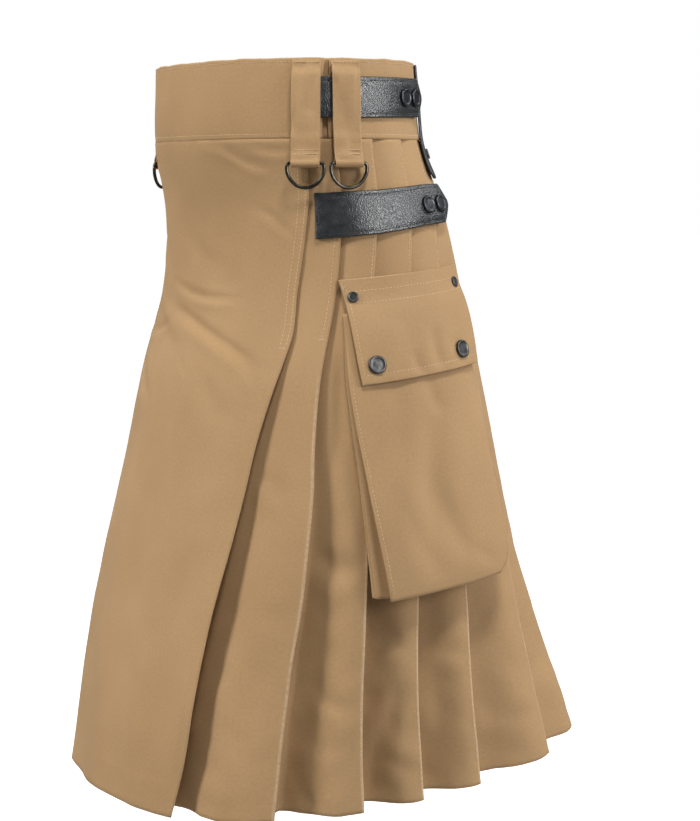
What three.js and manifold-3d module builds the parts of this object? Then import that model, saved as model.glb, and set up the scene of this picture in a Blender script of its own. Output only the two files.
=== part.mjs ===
// Utility kilt in heavy tan canvas, in the hollow form it has when worn.
// The waist opening is level at z = 0 and the cloth hangs 597 mm down from it: the wearer's front is -Y,
// the wearer's left is +X, up is +Z, and all sizes are in millimetres.
// A point of the cloth is given by its level z, its arc s along the girth from the centre front
// (towards the wearer's left) and its height d outside the girth line.
import * as THREE from 'three';
import { mergeVertices } from 'three/addons/utils/BufferGeometryUtils.js';
import Module from 'manifold-3d';

const wasm = await Module();
wasm.setup();

// Driving dimensions
const SEAM = 0.3; // gap between pieces that are sewn or lie on each other
const CLOTH = 1.0; // wall of the pleats and the under apron
const APRON_CLOTH = 1.4; // wall of the apron with its turned hems
const BAND_WALL = 2.4; // two layers of canvas and a stiffener
const LEATHER = 2.6; // strap of two leathers sewn together
const POCKET_WALL = 1.5;
const LAYER = 1.7; // distance between the layers of a closed fold
const SNAP_R = 7.5;
const RIVET_R = 4.5;
const LOOP_WIDTH = 23;
const BAR_R = 1.5; // wire radius of the D-rings
const EYE_R = 2.1; // turned end of a belt loop, round the bar
const ROUNDING = 2.3; // exponent of the rounded oval of the girth
const STATION = 12; // arc between the points of bands and straps
const SEAT = 0.5; // height of the straps over the girth line

// Girth of the kilt at each level: half sizes, centre and how much higher the back is than the front.
const SECTIONS = [
  { z: 0, halfWidth: 142, halfDepth: 94.2, centreY: 0, tilt: 0 },
  { z: -64, halfWidth: 146, halfDepth: 97.2, centreY: 3, tilt: 0 },
  { z: -122, halfWidth: 157, halfDepth: 100.5, centreY: 18.3, tilt: 0.9 },
  { z: -192, halfWidth: 168, halfDepth: 109.7, centreY: 26.4, tilt: 2.2 },
  { z: -262, halfWidth: 178, halfDepth: 129.8, centreY: 25.7, tilt: 6.5 },
  { z: -342, halfWidth: 188, halfDepth: 146.9, centreY: 25.5, tilt: 13 },
  { z: -422, halfWidth: 196, halfDepth: 166, centreY: 25.3, tilt: 21.6 },
  { z: -512, halfWidth: 206, halfDepth: 192.3, centreY: 29.4, tilt: 34.6 },
  { z: -597, halfWidth: 216, halfDepth: 215.7, centreY: 38.9, tilt: 43.2 },
];

// Arc of the free edge of each knife pleat; front is where the pleated cloth starts under the apron.
const FOLDS = [
  { z: -64, front: 105, f1: 168, f2: 200, f3: 231, f4: 262, f5: 293, f6: 324, f7: 355 },
  { z: -207, front: 95, f1: 164, f2: 195, f3: 230, f4: 265, f5: 315, f6: 365, f7: 413 },
  { z: -412, front: 82, f1: 188, f2: 239, f3: 284, f4: 333, f5: 400, f6: 463, f7: 526 },
  { z: -597, front: 70, f1: 197, f2: 270, f3: 323, f4: 379, f5: 469, f6: 553, f7: 630 },
];

// Set of the pleats: how deep a fold runs back under, how far a panel drops in behind the fold
// before it, how far its middle bows out, and the height of the layer under the apron.
const PLEAT_SET = [
  { z: -64, under: 25, drop: 4.1, bow: 0, start: 4.7, middle: 3.1 },
  { z: -207, under: 25, drop: 4.6, bow: 0.2, start: 5.2, middle: 3.6 },
  { z: -292, under: 24, drop: 8, bow: 1, start: 7.5, middle: 5.5 },
  { z: -412, under: 22, drop: 14, bow: 2.2, start: 11.5, middle: 8 },
  { z: -597, under: 20, drop: 21, bow: 3.5, start: 16.5, middle: 12 },
];

// Apron: arc of its free edges, and the height of its middle and of its edges.
const APRON = [
  { z: -64, edge: 145, middle: -0.7, rim: 1.1 },
  { z: -107, edge: 140, middle: -0.7, rim: 1.1 },
  { z: -186, edge: 131, middle: -0.7, rim: 1.1 },
  { z: -229, edge: 135, middle: -0.7, rim: 1.2 },
  { z: -324, edge: 123, middle: -0.7, rim: 1.8 },
  { z: -425, edge: 116, middle: -0.7, rim: 2.4 },
  { z: -544, edge: 111, middle: -0.7, rim: 2.8 },
  { z: -597, edge: 105, middle: -0.7, rim: 3 },
];

const SKIRT_LEVELS = [-64.3, -95, -142, -207, -247, -292, -342, -397, -452, -507, -557, -597];
const BAND_LEVELS = [0, -32, -64];
const FRONT_BAND_END = 157; // arc where the front waistband ends between the two belt loops
const BACK_BAND_END = 162.5;
const UNDER_BAND_END = 178;

// Leather straps: arc along the strap, its middle level, half its width and its lift off the cloth.
const WAIST_STRAP = [
  { s: 134, z: -31, half: 16, lift: 0 },
  { s: 190, z: -30.7, half: 16, lift: 0 },
  { s: 246, z: -29.8, half: 15.7, lift: 0.3 },
  { s: 260.5, z: -29.6, half: 15.4, lift: 1.9 },
  { s: 268.5, z: -29.6, half: 2.5, lift: 3.6 },
];
const HIP_STRAP = [
  { s: 145, z: -126.3, half: 18, lift: 0 },
  { s: 198, z: -122.8, half: 17.2, lift: 0 },
  { s: 246, z: -117.6, half: 16.2, lift: 0.5 },
  { s: 270, z: -116.6, half: 15.6, lift: 3.2 },
  { s: 280, z: -116.5, half: 2.5, lift: 5 },
];
const WAIST_SNAPS = [235, 252.2];
const HIP_SNAPS = [246, 262.5];

// Belt loops of doubled cloth: height of the inner face over the girth line, down to the ring's eye.
const LOOP_LIFT = [
  { z: -1.5, lift: 0.55 },
  { z: -6, lift: 0.55 },
  { z: -14, lift: 4 },
  { z: -60, lift: 4 },
  { z: -71, lift: 4.8 },
];
const LOOP_WALL = 2.2;
const LOOP_ARCS = { front: 142.5, rear: 175 };
const EYE_Z = -84; // level of the ring bars
const EYE_LIFT = 6.8; // height of the ring bars over the girth line

// D-ring: centre line of the wire, x along the bar and z down from it.
const RING_OUTLINE = [
  { x: 12.7, z: 0 },
  { x: 14.7, z: -1.2 },
  { x: 15.2, z: -4.2 },
  { x: 14.5, z: -8.6 },
  { x: 12.3, z: -13 },
  { x: 8.8, z: -16.7 },
  { x: 4.6, z: -18.9 },
];
const RING_BOTTOM = -19.6;

// Leather loop at the back: level and height of its inner face.
const BACK_LOOP = [
  { z: -1.5, lift: 0.4 },
  { z: -10, lift: 0.5 },
  { z: -28, lift: 1.6 },
  { z: -48, lift: 1.3 },
  { z: -61, lift: 0.7 },
  { z: -70, lift: 0.6 },
  { z: -81, lift: 0.9 },
  { z: -93, lift: 1.8 },
];
const BACK_LOOP_ARC = 283;
const BACK_LOOP_WALL = 2.2;
const BACK_RIVET_Z = -75.5;

// Cargo pocket: corners on the pleats (arc, level) and how far the front panel stands off.
const POCKET_TOP = { front: 173, frontZ: -205, back: 281, backZ: -195 };
const POCKET_BOTTOM = { front: 247, frontZ: -430, back: 372, backZ: -425 };
const POCKET = [
  { v: 0, stand: 4, inset: 1, round: 0 },
  { v: 0.3, stand: 8.5, inset: 2, round: 0 },
  { v: 0.65, stand: 15.5, inset: 5, round: 0 },
  { v: 0.88, stand: 20, inset: 8, round: 0 },
  { v: 0.96, stand: 20.5, inset: 9, round: 4 },
  { v: 1, stand: 19.5, inset: 9.5, round: 12 },
];
const FLAP_TOP = { front: 165.5, frontZ: -178, back: 286, backZ: -168 };
const FLAP_BOTTOM = { front: 203, frontZ: -260, back: 309, backZ: -249 };
const FLAP = [
  { v: 0, lift: 0.5 },
  { v: 0.12, lift: 1.4 },
  { v: 0.22, lift: 2.2 },
  { v: 0.33, lift: 7.2 },
  { v: 0.6, lift: 9.6 },
  { v: 1, lift: 11.4 },
];
const FLAP_WALL = 1.8;
const FLAP_SNAPS = { front: { u: 0.117, v: 0.825 }, rear: { u: 0.813, v: 0.823 } };
const FLAP_RIVETS = { front: { u: 0.056, v: 0.165 }, rear: { u: 0.9, v: 0.16 } };

const COLOURS = { cloth: 0xb6956c, leather: 0x35393b, metal: 0x33312b, snap: 0x3a3836 };

// Smooth value of one column of a table at x, through its rows.
function column(table, key, name, x) {
  const last = table.length - 1;
  const slope = (i) => {
    const a = table[Math.max(i - 1, 0)];
    const b = table[Math.min(i + 1, last)];
    return (b[name] - a[name]) / (b[key] - a[key]);
  };
  const rising = table[last][key] > table[0][key];
  let i = 0;
  while (i < last - 1 && (rising ? x > table[i + 1][key] : x < table[i + 1][key])) i++;
  const h = table[i + 1][key] - table[i][key];
  const t = Math.min(Math.max((x - table[i][key]) / h, 0), 1);
  return (
    (2 * t ** 3 - 3 * t * t + 1) * table[i][name] +
    (t ** 3 - 2 * t * t + t) * h * slope(i) +
    (3 * t * t - 2 * t ** 3) * table[i + 1][name] +
    (t ** 3 - t * t) * h * slope(i + 1)
  );
}

// Straight-line value of one column, for shapes with corners.
function corner(table, key, name, x) {
  const last = table.length - 1;
  const rising = table[last][key] > table[0][key];
  let i = 0;
  while (i < last - 1 && (rising ? x > table[i + 1][key] : x < table[i + 1][key])) i++;
  const t = (x - table[i][key]) / (table[i + 1][key] - table[i][key]);
  return table[i][name] + Math.min(Math.max(t, 0), 1) * (table[i + 1][name] - table[i][name]);
}

// Half girth at a level as a line of points with their arc from the centre front.
const girths = new Map();
function girth(z) {
  if (!girths.has(z)) {
    const g = { line: [], half: 0 };
    for (const name of ['halfWidth', 'halfDepth', 'centreY', 'tilt'])
      g[name] = column(SECTIONS, 'z', name, z);
    const steps = 360;
    for (let i = 0; i <= steps; i++) {
      const phi = (Math.PI * i) / steps;
      const c = Math.cos(phi);
      const x = g.halfWidth * Math.sin(phi) ** (2 / ROUNDING);
      const y = -g.halfDepth * Math.sign(c) * Math.abs(c) ** (2 / ROUNDING);
      const before = g.line[i - 1];
      if (before) g.half += Math.hypot(x - before.x, y - before.y);
      g.line.push({ x, y, s: g.half });
    }
    girths.set(z, g);
  }
  return girths.get(z);
}

// Point and outward direction at level z, arc s and height d; arcs run past both centre lines.
function spot(z, s, d) {
  const g = girth(z);
  if (s < 0 || s > g.half) {
    const m = spot(z, s < 0 ? -s : 2 * g.half - s, d);
    m.point.x *= -1;
    m.out.x *= -1;
    return m;
  }
  let lo = 0;
  let hi = g.line.length - 1;
  while (hi - lo > 1) {
    const mid = (lo + hi) >> 1;
    if (g.line[mid].s <= s) lo = mid;
    else hi = mid;
  }
  const t = (s - g.line[lo].s) / (g.line[hi].s - g.line[lo].s);
  const x = g.line[lo].x + t * (g.line[hi].x - g.line[lo].x);
  const y = g.line[lo].y + t * (g.line[hi].y - g.line[lo].y);
  const e = ROUNDING - 1;
  const out = new THREE.Vector3(
    Math.abs(x / g.halfWidth) ** e / g.halfWidth,
    (Math.sign(y) * Math.abs(y / g.halfDepth) ** e) / g.halfDepth,
    0,
  ).normalize();
  const py = y + d * out.y;
  const point = new THREE.Vector3(x + d * out.x, g.centreY + py, z + (g.tilt * py) / g.halfDepth / 2);
  return { point, out };
}
const place = (z, s, d) => spot(z, s, d).point;

// Closed body from corner points and triangles, turned so that its faces point out.
function body(points, triangles) {
  let volume = 0;
  for (const [a, b, c] of triangles)
    volume += points[a].dot(new THREE.Vector3().crossVectors(points[b], points[c]));
  const index = triangles.flatMap(([a, b, c]) => (volume < 0 ? [a, c, b] : [a, b, c]));
  const geometry = new THREE.BufferGeometry().setFromPoints(points);
  geometry.setIndex(index);
  return geometry;
}

// Shell between two grids of points: rows of { outer, inner } pairs, closed round its four edges.
function shell(rows) {
  const n = rows[0].length;
  const points = rows.flat().flatMap((pair) => [pair.outer, pair.inner]);
  const at = (j, i, inside) => 2 * (j * n + i) + inside;
  const triangles = [];
  const quad = (a, b, c, d) => triangles.push([a, b, c], [a, c, d]);
  for (let j = 0; j + 1 < rows.length; j++) {
    for (let i = 0; i + 1 < n; i++) {
      quad(at(j, i, 0), at(j, i + 1, 0), at(j + 1, i + 1, 0), at(j + 1, i, 0));
      quad(at(j + 1, i, 1), at(j + 1, i + 1, 1), at(j, i + 1, 1), at(j, i, 1));
    }
    quad(at(j, 0, 1), at(j, 0, 0), at(j + 1, 0, 0), at(j + 1, 0, 1));
    quad(at(j, n - 1, 0), at(j, n - 1, 1), at(j + 1, n - 1, 1), at(j + 1, n - 1, 0));
  }
  const foot = rows.length - 1;
  for (let i = 0; i + 1 < n; i++) {
    quad(at(0, i, 1), at(0, i + 1, 1), at(0, i + 1, 0), at(0, i, 0));
    quad(at(foot, i, 0), at(foot, i + 1, 0), at(foot, i + 1, 1), at(foot, i, 1));
  }
  return body(points, triangles);
}

// Wall of even thickness along a path of (s, d) points: each is moved both ways along its mitre.
function thicken(path, wall) {
  return path.map((p, i) => {
    const before = path[Math.max(i - 1, 0)];
    const after = path[Math.min(i + 1, path.length - 1)];
    const normal = (a, b) => {
      const l = Math.hypot(b.s - a.s, b.d - a.d);
      return { s: -(b.d - a.d) / l, d: (b.s - a.s) / l };
    };
    const n1 = i ? normal(before, p) : normal(p, after);
    const n2 = i < path.length - 1 ? normal(p, after) : n1;
    const k = wall / 2 / (1 + n1.s * n2.s + n1.d * n2.d);
    const m = { s: k * (n1.s + n2.s), d: k * (n1.d + n2.d) };
    return { outer: { s: p.s + m.s, d: p.d + m.d }, inner: { s: p.s - m.s, d: p.d - m.d } };
  });
}

// Cloth through one path of (s, d) points for each level.
function cloth(levels, wall, pathAt) {
  return shell(
    levels.map((z) =>
      thicken(pathAt(z), wall).map(({ outer, inner }) => ({
        outer: place(z, outer.s, outer.d),
        inner: place(z, inner.s, inner.d),
      })),
    ),
  );
}

const spread = (from, to, steps) =>
  Array.from({ length: steps + 1 }, (_, i) => from + ((to - from) * i) / steps);

// Arcs from one end to the other at shared stations, so that pieces on each other bend alike.
function stations(from, to, pitch) {
  const arcs = [from];
  for (let s = (Math.floor(from / pitch) + 1) * pitch; s < to - pitch / 4; s += pitch)
    if (s > from + pitch / 4) arcs.push(s);
  return [...arcs, to];
}

// One side of the pleated cloth: knife pleats whose free edges point to the back, and a last one
// whose edge lies at the centre back, where it meets the other side in an inverted pleat.
function pleatPath(z) {
  const set = (name) => column(PLEAT_SET, 'z', name, z);
  const half = girth(z).half;
  const edges = ['f1', 'f2', 'f3', 'f4', 'f5', 'f6', 'f7'].map((f) => column(FOLDS, 'z', f, z));
  edges.push(half - 0.8);
  const top = -CLOTH / 2;
  const under = set('under');
  const path = [];
  let from = { s: column(FOLDS, 'z', 'front', z) + SEAM / 2, d: -set('start') };
  edges.forEach((edge, k) => {
    const pitch = edge - from.s;
    const rise = top - from.d;
    const bow = set('bow');
    path.push(
      from,
      { s: from.s + pitch * 0.3, d: from.d + rise * 0.3 + bow * 0.8 },
      { s: from.s + pitch * 0.68, d: from.d + rise * 0.68 + bow },
      { s: edge, d: top },
      { s: edge, d: top - LAYER },
    );
    const depth = Math.min(under, 0.82 * pitch);
    const turn = top - rise * (depth / pitch) - 2;
    path.push({ s: edge - depth, d: turn }, { s: edge - depth, d: turn - LAYER });
    from = { s: edge, d: -set('drop') };
  });
  path.push({ s: half - SEAM, d: -set('drop') });
  return path;
}

function apronPath(z) {
  const get = (name) => column(APRON, 'z', name, z);
  const edge = get('edge');
  return spread(-1, 1, 20).map((u) => ({
    s: u * edge,
    d: get('middle') + (get('rim') - get('middle')) * Math.abs(u) ** 4,
  }));
}

function underApronPath(z) {
  const set = (name) => column(PLEAT_SET, 'z', name, z);
  const edge = column(FOLDS, 'z', 'front', z) - SEAM;
  return spread(-1, 1, 14).map((u) => ({
    s: u * edge,
    d: -set('middle') - (set('start') - set('middle')) * u * u,
  }));
}

const bandPath = (end, d) => () => stations(-end, end, STATION).map((s) => ({ s, d }));
function backBandPath(z) {
  const half = girth(z).half;
  const left = stations(BACK_BAND_END, 360, STATION);
  const arcs = [...left, half, ...left.map((s) => 2 * half - s).reverse()];
  return arcs.map((s) => ({ s, d: -BAND_WALL / 2 }));
}

// Strap along the arc, with a pointed end: three lines of points across its width.
function strapSpot(table, s, v, height) {
  const z = corner(table, 's', 'z', s) + v * corner(table, 's', 'half', s);
  return place(z, s, SEAT + corner(table, 's', 'lift', s) + height);
}
function strap(table) {
  const [start, shoulder, tip] = [table[0], table.at(-2), table.at(-1)].map((row) => row.s);
  const arcs = [...stations(start, shoulder, STATION), tip];
  return shell(
    [1, 0, -1].map((v) =>
      arcs.map((s) => ({
        outer: strapSpot(table, s, v, LEATHER),
        inner: strapSpot(table, s, v, 0),
      })),
    ),
  );
}

// Four-sided patch on the pleats: arc and level at u across and v down.
function patch(top, bottom, u, v) {
  const mix = (a, b, t) => a + (b - a) * t;
  const s = mix(mix(top.front, top.back, u), mix(bottom.front, bottom.back, u), v);
  const z = mix(mix(top.frontZ, top.backZ, u), mix(bottom.frontZ, bottom.backZ, u), v);
  return { s, z };
}

// Bellows pocket: a front panel that stands off, with gussets at its sides and bottom, open at the
// top under the flap; the pleats are its back.
function pocket() {
  const block = (grow, back, top, foot) => {
    const rows = spread(0, 1, 7).map((t) => {
      const v = top + (foot - top) * t;
      const get = (name) => corner(POCKET, 'v', name, Math.min(Math.max(v, 0), 1));
      const across = [0, 0.03, 0.26, 0.5, 0.74, 0.97, 1];
      return across.map((u) => {
        const { s, z } = patch(POCKET_TOP, POCKET_BOTTOM, u, v);
        const side = u < 0.5 ? 1 : -1;
        const end = u === 0 || u === 1;
        const shift = grow * side * (u === 0.5 ? 0 : 1) + (u > 0.5 ? -get('round') * (u > 0.9) : 0);
        const stand = get('stand') - grow;
        const lean = u < 0.5 ? get('inset') * (end ? 0.4 : 1) * (u < 0.1) : 0;
        return {
          outer: place(z, s + shift + lean, end ? 0.8 + stand * 0.45 : 0.8 + stand),
          inner: place(z, s + shift, back),
        };
      });
    });
    return shell(rows);
  };
  const outer = block(0, 0.8, 0, 1);
  const inner = block(POCKET_WALL, -3, -0.03, 1 - POCKET_WALL / 236);
  return cut(outer, inner);
}

// Difference of two closed bodies.
function cut(a, b) {
  const solid = (geometry) => {
    const g = mergeVertices(geometry, 1e-4);
    return new wasm.Manifold(
      new wasm.Mesh({
        numProp: 3,
        vertProperties: new Float32Array(g.attributes.position.array),
        triVerts: new Uint32Array(g.index.array),
      }),
    );
  };
  const made = solid(a).subtract(solid(b)).getMesh();
  const geometry = new THREE.BufferGeometry();
  geometry.setAttribute('position', new THREE.BufferAttribute(made.vertProperties, 3));
  geometry.setIndex(new THREE.BufferAttribute(made.triVerts, 1));
  return geometry;
}

function flapSpot(u, v, height) {
  const { s, z } = patch(FLAP_TOP, FLAP_BOTTOM, u, v);
  return place(z, s, corner(FLAP, 'v', 'lift', v) + height);
}
function flap() {
  return shell(
    FLAP.map(({ v }) =>
      spread(0, 1, 7).map((u) => ({
        outer: flapSpot(u, v, FLAP_WALL),
        inner: flapSpot(u, v, 0),
      })),
    ),
  );
}

const backLoopSpot = (z, x, height) =>
  place(z, BACK_LOOP_ARC + x, corner(BACK_LOOP, 'z', 'lift', z) + height);
function backLoop() {
  return shell(
    BACK_LOOP.map(({ z }) => {
      const narrow = z < -88 ? 4 : 0;
      return spread(-LOOP_WIDTH / 2 + narrow, LOOP_WIDTH / 2 - narrow, 2).map((x) => ({
        outer: backLoopSpot(z, x, BACK_LOOP_WALL),
        inner: backLoopSpot(z, x, 0),
      }));
    }),
  );
}

// Upright frame of a belt loop and its ring: at the bar, x along it, y outwards and z up.
function loopFrame(arc) {
  const { point } = spot(EYE_Z, arc, EYE_LIFT);
  const out = spot(EYE_Z, arc, 0).out.add(spot(0, arc, 0).out).normalize();
  const up = new THREE.Vector3(0, 0, 1);
  const along = new THREE.Vector3().crossVectors(out, up);
  return { point, out, along, up };
}

// Height of the girth line at level z in a loop's upright plane, from the ring's bar.
function lineHeight(frame, z) {
  let s = 0;
  let step = girth(z).half / 2;
  s = step;
  for (let i = 0; i < 40; i++) {
    step /= 2;
    const side = place(z, s, 0).sub(frame.point).dot(frame.along);
    s += side > 0 ? step : -step;
  }
  return place(z, s, 0).sub(frame.point).dot(frame.out);
}

// Belt loop: its side view drawn in the upright plane and extruded across the loop's width.
function beltLoop(frame) {
  const outline = new THREE.Shape();
  const inner = LOOP_LIFT.map(({ z, lift }) => ({ y: lineHeight(frame, z) + lift, z: z - EYE_Z }));
  const eye = EYE_R + 1.2;
  const neck = Math.asin(LOOP_WALL / 2 / eye);
  outline.moveTo(inner[0].y, inner[0].z);
  inner.slice(1).forEach((p) => outline.lineTo(p.y, p.z));
  for (const a of spread(Math.PI / 2 + neck, (5 * Math.PI) / 2 - neck, 12))
    outline.lineTo(eye * Math.cos(a), eye * Math.sin(a));
  [...inner].reverse().forEach((p) => outline.lineTo(p.y + LOOP_WALL, p.z));
  const hole = new THREE.Path();
  spread(0, 2 * Math.PI, 12)
    .slice(0, 12)
    .forEach((a, i) => {
      const [y, z] = [EYE_R * Math.cos(a), EYE_R * Math.sin(a)];
      if (i) hole.lineTo(y, z);
      else hole.moveTo(y, z);
    });
  outline.holes.push(hole);
  return new THREE.ExtrudeGeometry(outline, { depth: LOOP_WIDTH, bevelEnabled: false, steps: 1 });
}

// Wire of round section along a closed flat line.
function dRing() {
  const right = RING_OUTLINE.map(({ x, z }) => new THREE.Vector3(x, 0, z));
  const left = RING_OUTLINE.map(({ x, z }) => new THREE.Vector3(-x, 0, z)).reverse();
  const line = [...right, new THREE.Vector3(0, 0, RING_BOTTOM), ...left];
  const sides = 8;
  const points = [];
  line.forEach((p, i) => {
    const before = line[(i + line.length - 1) % line.length];
    const after = line[(i + 1) % line.length];
    const along = after.clone().sub(p).normalize().add(p.clone().sub(before).normalize()).normalize();
    const flat = new THREE.Vector3(-along.z, 0, along.x);
    for (let k = 0; k < sides; k++) {
      const a = (2 * Math.PI * (k + 0.5)) / sides;
      const out = new THREE.Vector3(0, BAR_R * Math.sin(a), 0).addScaledVector(flat, BAR_R * Math.cos(a));
      points.push(p.clone().add(out));
    }
  });
  const triangles = [];
  for (let i = 0; i < line.length; i++)
    for (let k = 0; k < sides; k++) {
      const j = (i + 1) % line.length;
      const m = (k + 1) % sides;
      triangles.push([i * sides + k, j * sides + k, j * sides + m]);
      triangles.push([i * sides + k, j * sides + m, i * sides + m]);
    }
  return body(points, triangles);
}

// Cap of a snap or a rivet, turned about its own axis, with a shallow dish inside its rim.
function cap(radius, height) {
  const rim = [
    { r: 0, h: 0 },
    { r: 1, h: 0 },
    { r: 1, h: 0.45 },
    { r: 0.86, h: 1 },
    { r: 0.66, h: 0.8 },
    { r: 0, h: 0.86 },
  ];
  const profile = rim.map(({ r, h }) => new THREE.Vector2(r * radius, h * height));
  return new THREE.LatheGeometry(profile, 12);
}

// Assembly
const kilt = new THREE.Group();
const look = (color, roughness, metalness) => () =>
  new THREE.MeshStandardMaterial({ color, roughness, metalness });
const canvas = look(COLOURS.cloth, 0.85, 0);
const leather = look(COLOURS.leather, 0.45, 0);
const metal = look(COLOURS.metal, 0.35, 0.9);
const enamel = look(COLOURS.snap, 0.4, 0.6);

function add(name, geometry, material) {
  const mesh = new THREE.Mesh(geometry, material());
  mesh.name = name;
  kilt.add(mesh);
  return mesh;
}

// The same piece on the other side of the kilt.
function mirrored(geometry) {
  const g = geometry.index ? geometry.toNonIndexed() : geometry.clone();
  const p = g.attributes.position;
  for (let i = 0; i < p.count; i += 3) {
    const [x, y, z] = [p.getX(i + 1), p.getY(i + 1), p.getZ(i + 1)];
    p.setXYZ(i + 1, p.getX(i + 2), p.getY(i + 2), p.getZ(i + 2));
    p.setXYZ(i + 2, x, y, z);
    for (let k = i; k < i + 3; k++) p.setX(k, -p.getX(k));
  }
  return g;
}
function pair(name, geometry, material) {
  add(`${name}_left`, geometry, material);
  add(`${name}_right`, mirrored(geometry), material);
}

// A turned cap seated on a face given as a function of two directions, one on each side of the kilt.
function capPair(name, radius, height, face) {
  const across = face(radius, 0).sub(face(-radius, 0));
  const upwards = face(0, radius).sub(face(0, -radius));
  const out = across.cross(upwards).normalize();
  const rims = [face(radius, 0), face(-radius, 0), face(0, radius), face(0, -radius), face(0, 0)];
  const level = Math.max(...rims.map((p) => p.dot(out)));
  const point = face(0, 0);
  point.addScaledVector(out, level - point.dot(out) + SEAM);
  for (const [side, sign] of [['left', 1], ['right', -1]]) {
    const axis = new THREE.Vector3(sign * out.x, out.y, out.z).normalize();
    const mesh = add(`${name}_${side}`, cap(radius, height), enamel);
    mesh.position.set(sign * point.x, point.y, point.z);
    mesh.quaternion.setFromUnitVectors(new THREE.Vector3(0, 1, 0), axis);
  }
}

add('apron', cloth(SKIRT_LEVELS, APRON_CLOTH, apronPath), canvas);
add('under_apron', cloth(SKIRT_LEVELS, CLOTH, underApronPath), canvas);
add('waistband_front', cloth(BAND_LEVELS, BAND_WALL, bandPath(FRONT_BAND_END, -BAND_WALL / 2)), canvas);
add('waistband_back', cloth(BAND_LEVELS, BAND_WALL, backBandPath), canvas);
add('waistband_under', cloth(BAND_LEVELS, 2, bandPath(UNDER_BAND_END, -BAND_WALL - SEAM - 1)), canvas);
pair('pleats', cloth(SKIRT_LEVELS, CLOTH, pleatPath), canvas);

for (const [where, arc] of Object.entries(LOOP_ARCS)) {
  const frame = loopFrame(arc);
  for (const [side, sign] of [['left', 1], ['right', -1]]) {
    const flip = (v) => new THREE.Vector3(sign * v.x, v.y, v.z);
    const out = flip(frame.out);
    const along = new THREE.Vector3().crossVectors(out, frame.up);
    const loop = add(`belt_loop_${where}_${side}`, beltLoop(frame), canvas);
    loop.quaternion.setFromRotationMatrix(new THREE.Matrix4().makeBasis(out, frame.up, along));
    loop.position.copy(flip(frame.point)).addScaledVector(along, -LOOP_WIDTH / 2);
    const ring = add(`d_ring_${where}_${side}`, dRing(), metal);
    ring.quaternion.setFromRotationMatrix(new THREE.Matrix4().makeBasis(along, out, frame.up));
    ring.position.copy(flip(frame.point));
  }
}

pair('waist_strap', strap(WAIST_STRAP), leather);
pair('hip_strap', strap(HIP_STRAP), leather);
const onStrap = (table, s) => (x, y) =>
  strapSpot(table, s + x, y / corner(table, 's', 'half', s + x), LEATHER);
WAIST_SNAPS.forEach((s, i) => capPair(`waist_snap_${i + 1}`, SNAP_R, 2.6, onStrap(WAIST_STRAP, s)));
HIP_SNAPS.forEach((s, i) => capPair(`hip_snap_${i + 1}`, SNAP_R, 2.6, onStrap(HIP_STRAP, s)));

pair('back_loop', backLoop(), leather);
capPair('back_rivet', RIVET_R, 1.8, (x, y) => backLoopSpot(BACK_RIVET_Z + y, x, BACK_LOOP_WALL));

pair('pocket', pocket(), canvas);
pair('flap', flap(), canvas);
const onFlap = ({ u, v }) => (x, y) => flapSpot(u + x / 100, v - y / 83, FLAP_WALL);
for (const [where, at] of Object.entries(FLAP_SNAPS))
  capPair(`flap_snap_${where}`, SNAP_R, 2.6, onFlap(at));
for (const [where, at] of Object.entries(FLAP_RIVETS))
  capPair(`flap_rivet_${where}`, RIVET_R, 1.8, onFlap(at));

export default kilt;
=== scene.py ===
# %% [markdown]
# # A utility kilt in tan canvas
# The kilt is built round a fixed frame of measured solids. Each cloth piece of the frame is replaced
# by a thin shell with its real creases, hems and stitches. Sizes are worked out in millimetres, as a
# maker would, and become metres when a mesh is written.

# %% Load the frame
import math

import bpy
import numpy as np
from mathutils import Matrix, Vector


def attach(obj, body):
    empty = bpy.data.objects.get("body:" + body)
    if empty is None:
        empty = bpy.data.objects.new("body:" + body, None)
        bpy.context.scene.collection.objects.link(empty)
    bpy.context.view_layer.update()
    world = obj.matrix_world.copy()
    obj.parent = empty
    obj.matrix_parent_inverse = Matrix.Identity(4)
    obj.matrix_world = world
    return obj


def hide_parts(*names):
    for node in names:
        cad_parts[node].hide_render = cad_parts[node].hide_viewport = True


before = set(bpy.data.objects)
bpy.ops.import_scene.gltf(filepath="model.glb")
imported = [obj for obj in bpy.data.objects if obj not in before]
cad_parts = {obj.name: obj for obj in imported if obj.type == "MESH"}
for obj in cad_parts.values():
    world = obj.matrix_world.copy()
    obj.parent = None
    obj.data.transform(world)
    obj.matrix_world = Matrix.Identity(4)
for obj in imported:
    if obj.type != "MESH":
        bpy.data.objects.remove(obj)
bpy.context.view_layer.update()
MM = 0.001
SIDES = {"left": 1, "right": -1}


def link(name, data):
    """A new object in the scene with this data."""
    thing = bpy.data.objects.new(name, data)
    bpy.context.collection.objects.link(thing)
    return thing


# %% [markdown]
# ## The girth of the kilt
# A worn kilt is a tube: an oval at the waist that grows towards the hem. Every piece of cloth is
# placed by three numbers, as on a pattern: its level z, its arc s along the girth from the centre
# front towards the wearer's left, and its height d off the girth line. One function turns these into
# a point, so pieces that are sewn to each other always fit.

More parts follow.
